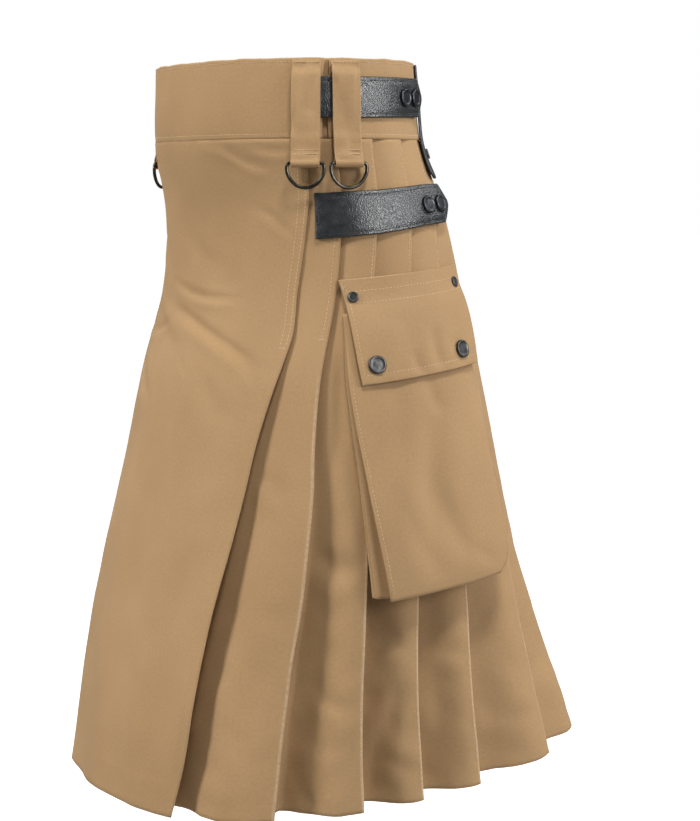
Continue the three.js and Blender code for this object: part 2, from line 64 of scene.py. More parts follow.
# %% Tables and their curves
class Table:
    """Rows of numbers under named columns; the first column is the one that is looked up."""

    def __init__(self, names, *rows):
        self.columns = dict(zip(names.split(), np.array(sorted(rows), float).T))
        self.key = self.columns[names.split()[0]]

    def __call__(self, x, *names):
        """The named columns at x, each on a smooth curve through its rows."""
        k, curves = self.key, []
        for v in (self.columns[name] for name in names):
            m = np.empty_like(v)
            m[1:-1] = (v[2:] - v[:-2]) / (k[2:] - k[:-2])
            m[0], m[-1] = (v[1] - v[0]) / (k[1] - k[0]), (v[-1] - v[-2]) / (k[-1] - k[-2])
            x = np.clip(x, k[0], k[-1])
            i = np.clip(np.searchsorted(k, x) - 1, 0, len(k) - 2)
            h = k[i + 1] - k[i]
            t = (x - k[i]) / h
            curves.append((2 * t**3 - 3 * t * t + 1) * v[i] + (t**3 - 2 * t * t + t) * h * m[i]
                          + (3 * t * t - 2 * t**3) * v[i + 1] + (t**3 - t * t) * h * m[i + 1])
        return curves if len(names) > 1 else curves[0]

    def straight(self, x, name):
        return np.interp(x, self.key, self.columns[name])


def ramp(x, low, high):
    """0 below low, 1 above high and smooth between."""
    t = np.clip((np.asarray(x, float) - low) / (high - low), 0, 1)
    return t * t * (3 - 2 * t)


def bell(x, middle, width):
    """1 at the middle, fading to either side."""
    return np.exp(-(((x - middle) / width) ** 2))


def arch(t, power=1.0):
    """0 at both ends of 0..1 and 1 half way."""
    return np.clip(np.sin(np.pi * np.clip(t, 0, 1)), 0, 1) ** power


def unit(v):
    return v / np.maximum(np.linalg.norm(v, axis=-1, keepdims=True), 1e-9)


def length_along(line):
    return np.r_[0, np.cumsum(np.linalg.norm(np.diff(line, axis=0), axis=-1))]


UP = np.array([0, 0, 1.0])
MIRROR = np.array([-1.0, 1, 1])
SECTIONS = Table(
    "z halfWidth halfDepth centreY tilt",
    (0, 142, 94.2, 0, 0),
    (-64, 146, 97.2, 3, 0),
    (-122, 157, 100.5, 18.3, 0.9),
    (-192, 168, 109.7, 26.4, 2.2),
    (-262, 178, 129.8, 25.7, 6.5),
    (-342, 188, 146.9, 25.5, 13),
    (-422, 196, 166, 25.3, 21.6),
    (-512, 206, 192.3, 29.4, 34.6),
    (-597, 216, 215.7, 38.9, 43.2),
)
ROUNDING = 2.3

# %% The girth function
LEVELS = np.arange(4.0, -609.0, -2.0)
PORTIONS = np.linspace(0, 1, 721)


def girth_lines():
    """For each level: the half girth, and its points at even portions of it."""
    phi = np.linspace(0, np.pi, 1441)
    sin, cos = np.sin(phi), np.cos(phi)
    halves, xs, ys = [], [], []
    for z in LEVELS:
        a, b = SECTIONS(z, "halfWidth", "halfDepth")
        x = a * sin ** (2 / ROUNDING)
        y = -b * np.sign(cos) * np.abs(cos) ** (2 / ROUNDING)
        run = np.r_[0, np.cumsum(np.hypot(np.diff(x), np.diff(y)))]
        halves.append(run[-1])
        xs.append(np.interp(PORTIONS, run / run[-1], x))
        ys.append(np.interp(PORTIONS, run / run[-1], y))
    return np.array(halves), np.array(xs), np.array(ys)


HALVES, LINE_X, LINE_Y = girth_lines()


def half_girth(z):
    return np.interp(z, LEVELS[::-1], HALVES[::-1])


def spot(z, s, d):
    """Points at level z, arc s and height d, in millimetres; arcs run past both centre lines."""
    z, s, d = np.broadcast_arrays(*(np.asarray(v, float) for v in (z, s, d)))
    half = half_girth(z)
    side = np.where((s < 0) | (s > half), -1.0, 1.0)
    s = np.where(s < 0, -s, np.where(s > half, 2 * half - s, s))
    i = np.clip((LEVELS[0] - z) / 2, 0, len(LEVELS) - 1.001)
    j = np.clip(s / half * 720, 0, 719.999)
    i0, j0 = i.astype(int), j.astype(int)
    ti, tj = i - i0, j - j0

    def look(grid):
        top = grid[i0, j0] * (1 - tj) + grid[i0, j0 + 1] * tj
        low = grid[i0 + 1, j0] * (1 - tj) + grid[i0 + 1, j0 + 1] * tj
        return top * (1 - ti) + low * ti

    x, y = look(LINE_X), look(LINE_Y)
    a, b, centre, tilt = SECTIONS(z, "halfWidth", "halfDepth", "centreY", "tilt")
    e = ROUNDING - 1
    nx = np.abs(x / a) ** e / a
    ny = np.sign(y) * np.abs(y / b) ** e / b
    size = np.hypot(nx, ny)
    x, y = x + d * nx / size, y + d * ny / size
    return np.stack([side * x, centre + y, z + tilt * y / b / 2], -1)


print("half girth at the waist and the hem, mm:", half_girth(0).round(), half_girth(-597).round())

# %% [markdown]
# ## Camera, light and floor
# The photograph was taken from the wearer's left front, a little above the waist, with a long lens,
# so that the hem at the back looks higher than at the front. The light is soft and comes from all
# round, with a stronger lamp on the left that leaves the hollow of each pleat dark.

# %% Camera
AZIMUTH = math.radians(60)
to_camera = np.array([math.sin(AZIMUTH), -math.cos(AZIMUTH), 0.0])
to_right = np.array([math.cos(AZIMUTH), math.sin(AZIMUTH), 0.0])
eye = (to_camera * 1850 + to_right * 59.67 + np.array([0, 0, -100.4])) * MM
lens = bpy.data.cameras.new("camera")
lens.sensor_fit, lens.sensor_height = "VERTICAL", 36.0
lens.lens = 2105 / 821 * 36.0
lens.shift_y = 10 / 821
camera = link("camera", lens)
camera.location = eye
camera.rotation_euler = (math.radians(90 - 6.42), 0, AZIMUTH)
lens.clip_end = 100
bpy.context.scene.camera = camera
bpy.context.scene.view_settings.view_transform = "Standard"
print("lens", round(lens.lens, 1), "mm")


# %% Lamps and sky
LAMPS = [
    # name, azimuth and height in degrees, distance and size in metres, power in watts
    ("key_lamp", 78, 60, 3.0, 0.6, 46),
    ("front_lamp", -12, 29, 3.0, 0.8, 64),
    ("soft_box", 118, 18, 2.6, 1.0, 26),
    ("gloss_panel", 110, 12, 2.6, 0.7, 50),
    ("rear_lamp", 165, 34, 3.0, 1.0, 32),
    ("far_lamp", 255, 40, 3.0, 2.0, 30),
]
for name, azimuth, height, distance, size, power in LAMPS:
    light = bpy.data.lights.new(name, "AREA")
    light.shape, light.size, light.energy = "DISK", size, power
    lamp = link(name, light)
    a, h = math.radians(azimuth), math.radians(height)
    place = Vector((math.sin(a) * math.cos(h), -math.cos(a) * math.cos(h), math.sin(h))) * distance
    lamp.location = place + Vector((0, 0, -0.3))
    lamp.rotation_euler = (-place).to_track_quat("-Z", "Y").to_euler()
    lamp.visible_diffuse = name != "gloss_panel"
sky = bpy.data.worlds.new("studio")
sky.use_nodes = True
tree = sky.node_tree
soft = tree.nodes["Background"]
white, seen, either = (tree.nodes.new("ShaderNode" + kind) for kind in ("Background", "LightPath", "MixShader"))
for shade, strength in ((soft, 0.15), (white, 1.0)):
    shade.inputs["Strength"].default_value = strength
    shade.inputs["Color"].default_value = (1, 1, 1, 1)
for i, output in enumerate((seen.outputs["Is Camera Ray"], soft.outputs[0], white.outputs[0])):
    tree.links.new(output, either.inputs[i])
tree.links.new(either.outputs[0], tree.nodes["World Output"].inputs["Surface"])
bpy.context.scene.world = sky


# %% A small kit for materials
class Nodes:
    """Short calls to add and join the nodes of one material."""

    def __init__(self, name):
        self.material = bpy.data.materials.new(name)
        self.material.use_nodes = True
        self.tree = self.material.node_tree
        self.shader = self.tree.nodes["Principled BSDF"]

    def put(self, value, socket):
        if isinstance(value, bpy.types.NodeSocket):
            self.tree.links.new(value, socket)
        else:
            socket.default_value = value

    def add(self, kind, values=None, **settings):
        node = self.tree.nodes.new(kind)
        for name, value in settings.items():
            setattr(node, name, value)
        for name, value in (values or {}).items():
            self.put(value, node.inputs[name])
        return node

    def give(self, **values):
        for name, value in values.items():
            self.put(value, self.shader.inputs[name.replace("_", " ")])
        return self.material

    def place(self):
        return self.add("ShaderNodeTexCoord").outputs["Object"]

    def noise(self, vector, scale, detail=2.0):
        return self.add("ShaderNodeTexNoise", {"Vector": vector, "Scale": scale, "Detail": detail}).outputs["Fac"]

    def maths(self, operation, *values):
        return self.add("ShaderNodeMath", dict(enumerate(values)), operation=operation).outputs[0]

    def bump(self, height, strength, distance):
        values = {"Height": height, "Strength": strength, "Distance": distance}
        return self.add("ShaderNodeBump", values).outputs[0]

    def tones(self, value, low, high, dark, pale):
        """A colour that goes from dark to pale as the value goes from low to high."""
        node = self.add("ShaderNodeValToRGB", {"Fac": value})
        for stop, place, colour in zip(node.color_ramp.elements, (low, high), (dark, pale)):
            stop.position, stop.color = place, (*colour, 1)
        return node.outputs[0]


# %% Floor
def floor_finish():
    n = Nodes("floor_white")
    seen = n.add("ShaderNodeLightPath")
    return n.give(Base_Color=(0.4, 0.4, 0.4, 1), Roughness=1.0, Emission_Color=(1, 1, 1, 1),
                  Emission_Strength=seen.outputs["Is Camera Ray"])


bpy.ops.mesh.primitive_plane_add(size=60, location=(0, 0, -1.08))
floor = bpy.context.object
floor.name = "floor"
floor.data.materials.append(floor_finish())

# %% [markdown]
# ## Canvas, leather and metal
# The canvas is a tightly woven cotton twill: nearly matt, with a faint sheen and a slight unevenness
# of dye. Its weave follows the cloth, so it reads the piece's own UV map, which is laid out in metres.
# Its pressed fold edges and cut edges carry a painted highlight, a paler tone mixed into the colour.
# The leather is nearly black, with a fine pebbled grain and a soft gloss. The rings and snaps are
# dark plated metal, a little lighter in random patches.


# %% Canvas
def canvas_finish(base, dark, highlight_tone):
    n = Nodes("canvas_tan")
    uv = n.add("ShaderNodeUVMap", uv_map="cloth").outputs["UV"]
    cloud = n.noise(n.place(), 9.0, 3.0)
    fleck = n.noise(uv, 420.0)
    tone = n.tones(n.maths("MULTIPLY_ADD", fleck, 0.4, n.maths("MULTIPLY", cloud, 0.6)), 0.3, 0.7, dark, base)
    # painted highlight: a per-point attribute marks pressed fold edges and cut edges, and a paler tone is mixed in
    # there for the light such an edge catches
    mottle_and_highlight = n.add("ShaderNodeAttribute", attribute_name="edge_highlight").outputs["Fac"]
    painted_highlight_fleck = n.maths("MULTIPLY", mottle_and_highlight, fleck)
    # inputs 0, 6 and 7 of a colour mix are its factor and its two colours, and output 2 is the result
    pale = n.add("ShaderNodeMix", {0: painted_highlight_fleck, 6: tone, 7: (*highlight_tone, 1)}, data_type="RGBA").outputs[2]
    turned_uv = n.add("ShaderNodeMapping", {"Vector": uv, "Rotation": (0, 0, math.radians(55))}).outputs[0]
    twill = n.add("ShaderNodeTexWave", {"Vector": turned_uv, "Scale": 260.0, "Distortion": 1.2,
                                        "Detail": 1.0, "Detail Scale": 2.0}).outputs["Fac"]
    return n.give(Base_Color=pale, Normal=n.bump(n.maths("ADD", twill, fleck), 0.25, 0.0002), Roughness=0.82,
                  Sheen_Weight=0.05, Sheen_Roughness=0.4, Specular_IOR_Level=0.2)


# the third colour is the paler tone of the painted edge highlight
canvas = canvas_finish((0.484, 0.304, 0.150), (0.388, 0.240, 0.115), (0.74, 0.55, 0.36))


# %% Leather
def leather_finish():
    n = Nodes("leather_black")
    place = n.place()
    pebble = n.add("ShaderNodeTexVoronoi", {"Vector": place, "Scale": 950.0}).outputs["Distance"]
    soft = n.noise(place, 160.0, 4.0)
    rough = n.add("ShaderNodeMapRange", {"Value": soft, "From Min": 0.3, "From Max": 0.7,
                                         "To Min": 0.29, "To Max": 0.42}).outputs[0]
    return n.give(Base_Color=n.tones(soft, 0.3, 0.7, (0.010, 0.012, 0.014), (0.020, 0.023, 0.026)),
                  Normal=n.bump(n.maths("ADD", pebble, soft), 0.55, 0.00045), Roughness=rough,
                  Specular_IOR_Level=0.6)


leather = leather_finish()


# %% Metal and thread
def metal_finish(name, low, high, roughness):
    n = Nodes(name)
    mottle_and_highlight = n.noise(n.place(), 300.0, 5.0)
    return n.give(Base_Color=n.tones(mottle_and_highlight, 0.35, 0.75, low, high), Normal=n.bump(mottle_and_highlight, 0.1, 0.0002),
                  Metallic=1.0, Roughness=roughness)


def thread_finish(name, colour):
    n = Nodes(name)
    ply = n.noise(n.place(), 2500.0)
    return n.give(Base_Color=(*colour, 1), Normal=n.bump(ply, 0.3, 0.0001), Roughness=0.6, Sheen_Weight=0.2)


ring_metal = metal_finish("ring_black_nickel", (0.03, 0.027, 0.022), (0.10, 0.09, 0.07), 0.36)
snap_metal = metal_finish("snap_gunmetal", (0.045, 0.046, 0.046), (0.11, 0.108, 0.104), 0.48)
snap_black = metal_finish("snap_black", (0.03, 0.032, 0.035), (0.07, 0.072, 0.078), 0.4)
tan_thread = thread_finish("thread_tan", (0.60, 0.42, 0.24))
black_thread = thread_finish("thread_black", (0.014, 0.015, 0.017))
print("materials", len(bpy.data.materials))

# %% [markdown]
# ## How a sheet of cloth is made
# A sheet is a grid of points on its middle surface. The shell moves them half a wall out and half a
# wall in, along the grid's own normals, and closes the edges with a rounded rim, because real cloth
# is turned under at its edges. A shell is better here than a Solidify modifier, because the wall can
# change: it is thicker at a hem. The UV map follows the lengths along the cloth.


# %% Shells
def normals_of(grid):
    return unit(np.cross(np.gradient(grid, axis=0), np.gradient(grid, axis=1)))


def write_mesh(name, points, quads, uv, material, edge_highlight=None):
    """One object from points in millimetres and quads; uv gives each corner's place in metres."""
    mesh = bpy.data.meshes.new(name)
    mesh.from_pydata(points * MM, [], quads, shade_flat=False)
    layer = mesh.uv_layers.new(name="cloth")
    layer.data.foreach_set("uv", uv[quads.ravel()].ravel())
    # per-point strength of the painted edge highlight, read by the canvas material
    if edge_highlight is not None:
        mesh.attributes.new("edge_highlight", "FLOAT", "POINT").data.foreach_set("value", edge_highlight)
    mesh.validate()
    mesh.materials.append(material)
    return link(name, mesh)


def shell(name, grid, wall, material, rim=0.35, edge_highlight=0.0):
    """A closed sheet round a grid of middle points; its wall and its painted edge highlight may vary over the grid.
    """
    rows, cols = grid.shape[:2]
    wall = np.broadcast_to(wall, (rows, cols))[..., None]
    n = normals_of(grid)
    outer, inner = grid + n * wall / 2, grid - n * wall / 2
    index = np.arange(rows * cols).reshape(rows, cols)
    edge = np.r_[index[0, :-1], index[:-1, -1], index[-1, :0:-1], index[:0:-1, 0]]
    flat = grid.reshape(-1, 3)
    side = unit(np.cross(flat[np.roll(edge, -1)] - flat[np.roll(edge, 1)], n.reshape(-1, 3)[edge]))
    inner_step = np.r_[grid[1, :-1], grid[:-1, -2], grid[-2, :0:-1], grid[:0:-1, 1]] - flat[edge]
    side *= -np.sign((side * inner_step).sum(-1, keepdims=True))
    lip = flat[edge] + side * rim * wall.reshape(-1, 1)[edge]
    count = rows * cols
    a, b, c, d = index[:-1, :-1], index[:-1, 1:], index[1:, 1:], index[1:, :-1]
    k = np.arange(len(edge))
    k2, edge2 = np.roll(k, -1), np.roll(edge, -1)
    quads = np.concatenate([
        np.stack([a, d, c, b], -1).reshape(-1, 4),
        np.stack([a, b, c, d], -1).reshape(-1, 4) + count,
        np.stack([edge, edge2, 2 * count + k2, 2 * count + k], -1),
        np.stack([2 * count + k, 2 * count + k2, edge2 + count, edge + count], -1),
    ])
    points = np.concatenate([outer.reshape(-1, 3), inner.reshape(-1, 3), lip])
    across, down = length_along(grid[rows // 2]), length_along(grid[:, cols // 2])
    uv = np.stack(np.meshgrid(across, down), -1).reshape(-1, 2) * MM
    uv = np.concatenate([uv, uv, uv[edge]])
    mottle_and_highlight = np.broadcast_to(edge_highlight, (rows, cols)).ravel()
    # painted highlight: the inner face gets none, and the rounded rim gets at least 0.35 of the paler edge tone
    mottle_and_highlight = np.concatenate([mottle_and_highlight, mottle_and_highlight * 0, np.maximum(mottle_and_highlight[edge], 0.35)])
    return write_mesh(name, points, quads, uv, material, mottle_and_highlight)


def each_side(grid, *more):
    """A grid for each side, mirrored with its outer face still out, and what goes with its points."""
    yield "left", grid, *more
    yield "right", grid[:, ::-1] * MIRROR, *(values[:, ::-1] for values in more)


def fit(piece, body, slot, *nodes):
    """Fastens a piece to a body and hides the nodes that it stands for; the slot argument is not used."""
    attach(piece, body)
    if nodes:
        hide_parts(*nodes)


def area_of(grid):
    a = np.cross(grid[1:, :-1] - grid[:-1, :-1], grid[:-1, 1:] - grid[:-1, :-1])
    return float(np.linalg.norm(a, axis=-1).sum()) * MM * MM


def widest(grid, axis):
    return float(np.linalg.norm(np.diff(grid, axis=axis), axis=-1).sum(axis).max()) * MM


def cloth_piece(name, grid, wall, nodes, edge_highlight=0.0):
    """A sheet of canvas that replaces nodes of the frame; it prints the size it was cut to."""
    piece = shell(name, grid, wall, canvas, edge_highlight=edge_highlight)
    fit(piece, "kilt", "canvas", *nodes)
    flat = (round(widest(grid, 1) + 0.002, 3), round(widest(grid, 0) + 0.002, 3))
    area = min(round(area_of(grid), 4), flat[0] * flat[1])
    print(name, "cut", flat, "area", area, "faces", len(piece.data.polygons))
    return piece


# %% [markdown]
# ## Creases
# Heavy canvas creases in soft troughs with a low ridge beside each. The main ones are listed one row
# each: where it starts and ends, its width, its depth and how far it bows. A finer unevenness, which
# all cloth has, comes from smooth seeded noise.


# %% Troughs and unevenness
def trough(s, z, row):
    s0, z0, s1, z1, width, depth, bend = row
    ds, dz = s1 - s0, z1 - z0
    length = math.hypot(ds, dz)
    u = ((s - s0) * ds + (z - z0) * dz) / length**2
    w = ((s - s0) * dz - (z - z0) * ds) / length - bend * 4 * u * (1 - u)
    fade = np.exp(-np.abs((u - 0.5) / 0.46) ** 4)
    return -depth * fade * (bell(w, 0, width) - 0.4 * bell(w, 1.7 * width, 1.3 * width))


def troughs(s, z, rows):
    return sum(trough(s, z, row) for row in rows)


TOP_Z, HEM_Z = -64.6, -597


def skirt_levels(count):
    """Levels from just under the waistband to the hem."""
    return np.linspace(TOP_Z, HEM_Z, count)


def unevenness(s, z, size_s, size_z, seed):
    """Smooth noise between -1 and 1 whose waves are about size_s by size_z millimetres."""
    values = np.random.RandomState(seed).uniform(-1, 1, (64, 64))
    x, y = np.asarray(s) / size_s + 31.5, np.asarray(z) / size_z + 17.3
    x, y = np.broadcast_arrays(x, y)
    i, j = np.floor(x).astype(int), np.floor(y).astype(int)
    tx, ty = x - i, y - j
    tx, ty = tx**3 * (6 * tx * tx - 15 * tx + 10), ty**3 * (6 * ty * ty - 15 * ty + 10)
    row = lambda b: values[i % 64, (j + b) % 64] * (1 - tx) + values[(i + 1) % 64, (j + b) % 64] * tx
    return row(0) * (1 - ty) + row(1) * ty


# %% [markdown]
# ## The apron
# The apron is the plain front panel. It lies on the pleats, held by two rows of stitching down to
# the hip, and hangs free below that with a turned hem at its sides and foot. In the photograph it is
# dragged a little over the hip, which gives two clear creases and a few shallow ones.

# %% Apron
APRON = Table(
    "z edge middle rim",
    (-64, 145, -0.7, 1.1),
    (-107, 140, -0.7, 1.1),
    (-186, 131, -0.7, 1.1),
    (-229, 135, -0.7, 1.2),
    (-324, 123, -0.7, 1.8),
    (-425, 116, -0.7, 2.4),
    (-544, 111, -0.7, 2.8),
    (-597, 105, -0.7, 3),
)
APRON_CREASES = [
    # s0, z0, s1, z1, width, depth, bend
    (-46, -185, 64, -195, 3.2, 2.4, 4),
    (-50, -204, 108, -246, 4.6, 2.9, -3),
    (8, -178, 66, -182, 9, 1.1, 5),
    (-96, -196, 4, -232, 7, -1.3, 3),
    (-60, -126, 58, -178, 11, 1.4, 3),
    (58, -69, 106, -87, 4.0, 1.8, 2),
    (94, -70, 134, -73, 3.0, 1.3, 2),
    (20, -66, 88, -80, 5, -0.8, 3),
    (34, -252, 96, -290, 11, 1.5, 5),
    (88, -120, 124, -142, 4, 1.1, -3),
    (2, -246, 16, -258, 2.4, 0.9, 2),
    (70, -236, 116, -262, 5, 1.2, -3),
    (-124, -142, -58, -188, 7, 1.5, -4),
    (-124, -226, -46, -219, 3.6, 1.8, 5),
    (-114, -250, -58, -282, 8, 1.5, 5),
    (-122, -78, -84, -88, 3, 1.4, -3),
    (-22, -322, 10, -552, 24, 1.9, 6),
    (66, -372, 76, -592, 18, 1.8, -5),
    (-74, -352, -64, -592, 20, 1.9, 6),
    (40, -470, 52, -592, 12, -1.3, 3),
    (-30, -120, 30, -128, 14, 0.9, 4),
]
STITCHED_TO = -232.0


def apron_height(s, z):
    edge = APRON(z, "edge")
    middle, rim = APRON(z, "middle", "rim")
    u = np.clip(np.abs(s) / edge, 0, 1)
    still = ramp(-z, 64, 76) * (1 - ramp(u, 0.93, 1.0) * ramp(z, -250, -230))
    low = ramp(-z, 300, 600)
    wave = troughs(s, z, APRON_CREASES) + unevenness(s, z, 48, 70, 3) * (0.8 + 1.1 * low)
    wave += unevenness(s, z, 16, 24, 4) * 0.3
    curl = 1.2 * ramp(u, 0.86, 1.0) * low * np.sin(z / 38.0)
    return middle + (rim - middle) * u**4 + wave * still + curl


def apron_edge(z):
    free = ramp(-z, 245, 330)
    return APRON(z, "edge") + free * 0.8 * np.sin(z / 31.0 + 0.6)


def apron_grid():
    z = skirt_levels(176)[:, None]
    u = np.linspace(-1, 1, 112)[None, :]
    s = u * apron_edge(z)
    return spot(z, s, apron_height(s, z)), s, z


grid, s, z = apron_grid()
side_hem = ramp(np.abs(s) - APRON(z, "edge"), -13.5, -12)
foot_hem = ramp(HEM_Z - z, -26, -24.5)
cloth_piece("apron_cloth", grid, 1.05 + 0.5 * np.maximum(side_hem, foot_hem), ["apron"])

# %% [markdown]
# ## The pleats
# Each half of the back is one wide cloth laid in knife pleats: it runs back along a panel, turns
# under at a crisp edge, returns towards the front and turns again to start the next panel. Down to
# the hip the folds are stitched shut, and below it they open. One path per level, with rounded
# turns, follows the cloth through all its layers, so no fold is faked with a groove.

# %% Pleat tables
FOLDS = Table(
    "z front f1 f2 f3 f4 f5 f6 f7",
    (-64, 105, 168, 200, 231, 262, 293, 324, 355),
    (-207, 95, 164, 195, 230, 265, 315, 365, 413),
    (-412, 82, 188, 239, 284, 333, 400, 463, 526),
    (-597, 70, 197, 270, 323, 379, 469, 553, 630),
)
PLEAT_SET = Table(
    "z under drop bow start middle",
    (-64, 25, 4.1, 0, 4.7, 3.1),
    (-207, 25, 4.6, 0.2, 5.2, 3.6),
    (-292, 24, 8, 1, 7.5, 5.5),
    (-412, 22, 14, 2.2, 11.5, 8),
    (-597, 20, 21, 3.5, 16.5, 12),
)
LAYER, CLOTH = 1.7, 1.0
PANEL_CREASES = {
    # panel: rows of (portion along the panel 0..1 at the top, z, the same at the foot, z, width, depth, bend)
    0: [(0.72, -140, 0.7, -196, 5, 1.2, 2), (0.76, -292, 0.74, -592, 8, 1.6, 3), (0.9, -225, 0.84, -330, 6, 2.4, 2),
        (0.6, -250, 0.42, -597, 15, 5, 2), (0.55, -520, 0.85, -556, 7, 1.6, 2), (0.5, -330, 0.7, -352, 7, 1.8, -2)],
    1: [(0.4, -235, 0.42, -330, 7, 2.0, -3), (0.07, -330, 0.08, -597, 8, 2.0, 2),
        (0.1, -398, 0.95, -412, 10, 3.0, -3), (0.45, -500, 0.8, -516, 6, 1.8, 2), (0.55, -540, 0.5, -594, 6, 2.0, 2),
        (0.25, -566, 0.45, -594, 5, 2.0, 2), (0.75, -556, 0.8, -592, 5, 1.5, 2)],
    2: [(0.35, -300, 0.32, -470, 7, 2.4, 2), (0.6, -520, 0.3, -592, 7, 2.8, 3), (0.4, -452, 0.85, -478, 7, 2.2, 2),
        (0.4, -560, 0.9, -575, 6, 1.8, -2), (0.08, -400, 0.1, -597, 7, 2.4, 2), (0.7, -500, 0.62, -545, 5, 2.0, 2)],
    3: [(0.35, -430, 0.5, -590, 9, 2.2, -3), (0.5, -520, 0.85, -548, 7, 1.8, 2), (0.1, -400, 0.12, -597, 8, 2.6, 2),
        (0.55, -478, 0.9, -490, 6, 1.6, 2)],
    4: [(0.45, -450, 0.4, -592, 12, 1.6, 4), (0.3, -540, 0.8, -560, 9, 1.4, 3)],
    5: [(0.45, -330, 0.4, -592, 14, 2.4, -4), (0.6, -500, 0.9, -540, 10, 1.6, 3)],
    6: [(0.5, -300, 0.4, -592, 15, 2.2, 4)],
    7: [(0.5, -300, 0.5, -592, 14, 2.0, -4)],
}


# %% Path of the cloth through the pleats
def pleat_edges(z):
    free = ramp(-z, 230, 330)
    edges = [FOLDS(z, f"f{k + 1}") + free * unevenness(k * 300.0, z, 50, 42, 11) for k in range(7)]
    return [FOLDS(z, "front") + 0.15] + edges + [half_girth(z) - 0.8]


def panel_height(k, t, z):
    """Height of panel k at portion t of its width."""
    edges = pleat_edges(z)
    low = ramp(-z, 260, 600)
    drop = PLEAT_SET(z, "start" if k == 0 else "drop")
    bow = PLEAT_SET(z, "bow")
    s = edges[k] + t * (edges[k + 1] - edges[k])
    held = 0.8 * ramp(z, -290, -200)
    drop = drop * (1 + 0.3 * ramp(-z, 300, 480))
    open_rise = t - 0.15 * np.sin(2 * np.pi * np.clip(t, 0, 1)) * ramp(-z, 260, 400)
    rise = open_rise * (1 - held) + (1 - np.clip(1 - t, 0, 1) ** 3) * held
    d = -drop + (drop - CLOTH / 2) * rise + bow * arch(t, 0.9) * (0.7 + 0.3 * t)
    wave = unevenness(s, z, 30, 60, 20 + k) * (0.3 + 2.2 * low)
    wave += unevenness(s, z, 12, 15, 40 + k) * (0.22 + 0.7 * low)
    wave += unevenness(s, z, 15, 22, 60 + k) * 1.5 * ramp(-z, 430, 580)
    wave += unevenness(s, z, 8, 30, 80 + k) * 0.8 * ramp(-z, 568, 592)
    for p0, z0, p1, z1, *form in PANEL_CREASES[k]:
        wave = wave + trough(s, z, (panel_arc(k, p0, z0), z0, panel_arc(k, p1, z1), z1, *form))
    return s, d + wave * arch(t, 0.6)


def panel_arc(k, portion, z):
    """Arc of a portion of panel k on its straight-edged pattern."""
    a = float(FOLDS(z, "front" if k == 0 else f"f{k}"))
    b = float(half_girth(z)) if k == 7 else float(FOLDS(z, f"f{k + 1}"))
    return a + portion * (b - a)


def pleat_grid():
    z = skirt_levels(168)
    edges = pleat_edges(z)
    under = PLEAT_SET(z, "under")
    drop = PLEAT_SET(z, "drop")
    r = LAYER / 2
    columns = []

    def add(s, d, edge_highlight=0.0):
        columns.append(np.broadcast_arrays(s, d, edge_highlight, z)[:3])

    for k in range(8):
        edge = edges[k + 1]
        pitch = edge - edges[k]
        for t in np.linspace(0, 0.9, 13):
            add(*panel_height(k, t, z))
        free = ramp(-z, 226, 300)
        # columns just before a fold edge, with a painted highlight that grows towards the edge
        for back, lip, edge_highlight in ((2.6, 0, 0), (1.7, 0.1, 0.1), (0.9, 0.3, 0.75)):
            s, d = panel_height(k, 1 - back / pitch, z)
            add(s, d + lip * free, edge_highlight * free)
        top = -CLOTH / 2
        # the turn round the fold edge, with a painted highlight on its outer side
        for a, lip, edge_highlight in ((-50, 0.3, 0.75), (0, 0.15, 0.2), (50, 0, 0), (90, 0, 0)):
            a = math.radians(a)
            add(edge - r + r * math.cos(a) + 0.5, top - r - r * math.sin(a) + lip * free, edge_highlight * free)
        depth = np.minimum(under, 0.82 * pitch)
        turn = top - (top + (drop if k else PLEAT_SET(z, "start"))) * depth / pitch - 2
        for t in (0.35, 0.7, 0.93):
            add(edge - depth * t, top - LAYER + (turn - top + LAYER) * t)
        for a in (-40, 0, 40):
            a = math.radians(a)
            add(edge - depth + r - r * math.cos(a), turn - r - r * math.sin(a))
        last = half_girth(z) - 0.35 if k == 7 else edge
        for t in (0.1, 0.4, 0.75) + ((1.0,) if k == 7 else ()):
            add(edge - depth + (last - edge + depth) * t, turn - LAYER + (-drop - turn + LAYER) * t)
    ss, ds, mottle_and_highlight = (np.stack(column, 1) for column in zip(*columns))
    return spot(z[:, None], ss, ds), mottle_and_highlight


grid, mottle_and_highlight = pleat_grid()
for side, cloth, edge_highlight in each_side(grid, mottle_and_highlight):
    # each pleated half carries the painted highlight of its fold edges
    cloth_piece(f"pleats_cloth_{side}", cloth, CLOTH, [f"pleats_{side}"], edge_highlight)

# %% [markdown]
# ## Under apron and waistband
# Behind the apron a second, plain panel closes the front. The waistband is stiff: two layers of
# canvas over a stiffener, in a front part with the apron and a back part with the pleats. They meet
# at each side between the belt loops, where the strap bridges the gap.


# %% Under apron
def under_apron_grid():
    z = skirt_levels(110)[:, None]
    u = np.linspace(-1, 1, 64)[None, :]
    edge = FOLDS(z, "front") - 0.3
    middle, start = PLEAT_SET(z, "middle", "start")
    wave = unevenness(u * edge, z, 40, 80, 60) * 1.2 * ramp(-z, 200, 500) * (1 - u * u)
    return spot(z, u * edge, -middle - (start - middle) * u * u + wave)


cloth_piece("under_apron_cloth", under_apron_grid(), CLOTH, ["under_apron"])

# %% Waistband
BAND_WALL = 2.4
FRONT_BAND_END, BACK_BAND_END, UNDER_BAND_END = 157.0, 162.5, 178.0


def band_height(s, z):
    v = -z / 64
    puckers = unevenness(s, z, 7, 30, 70) * 0.3 * (bell(v, 0.93, 0.1) + bell(v, 0.04, 0.08))
    dents = 0.25 * (bell(z, -2.6, 1.2) + bell(z, -60.6, 1.3))
    return -BAND_WALL / 2 + puckers - dents + unevenness(s, z, 55, 45, 71) * 0.5 * arch(v)


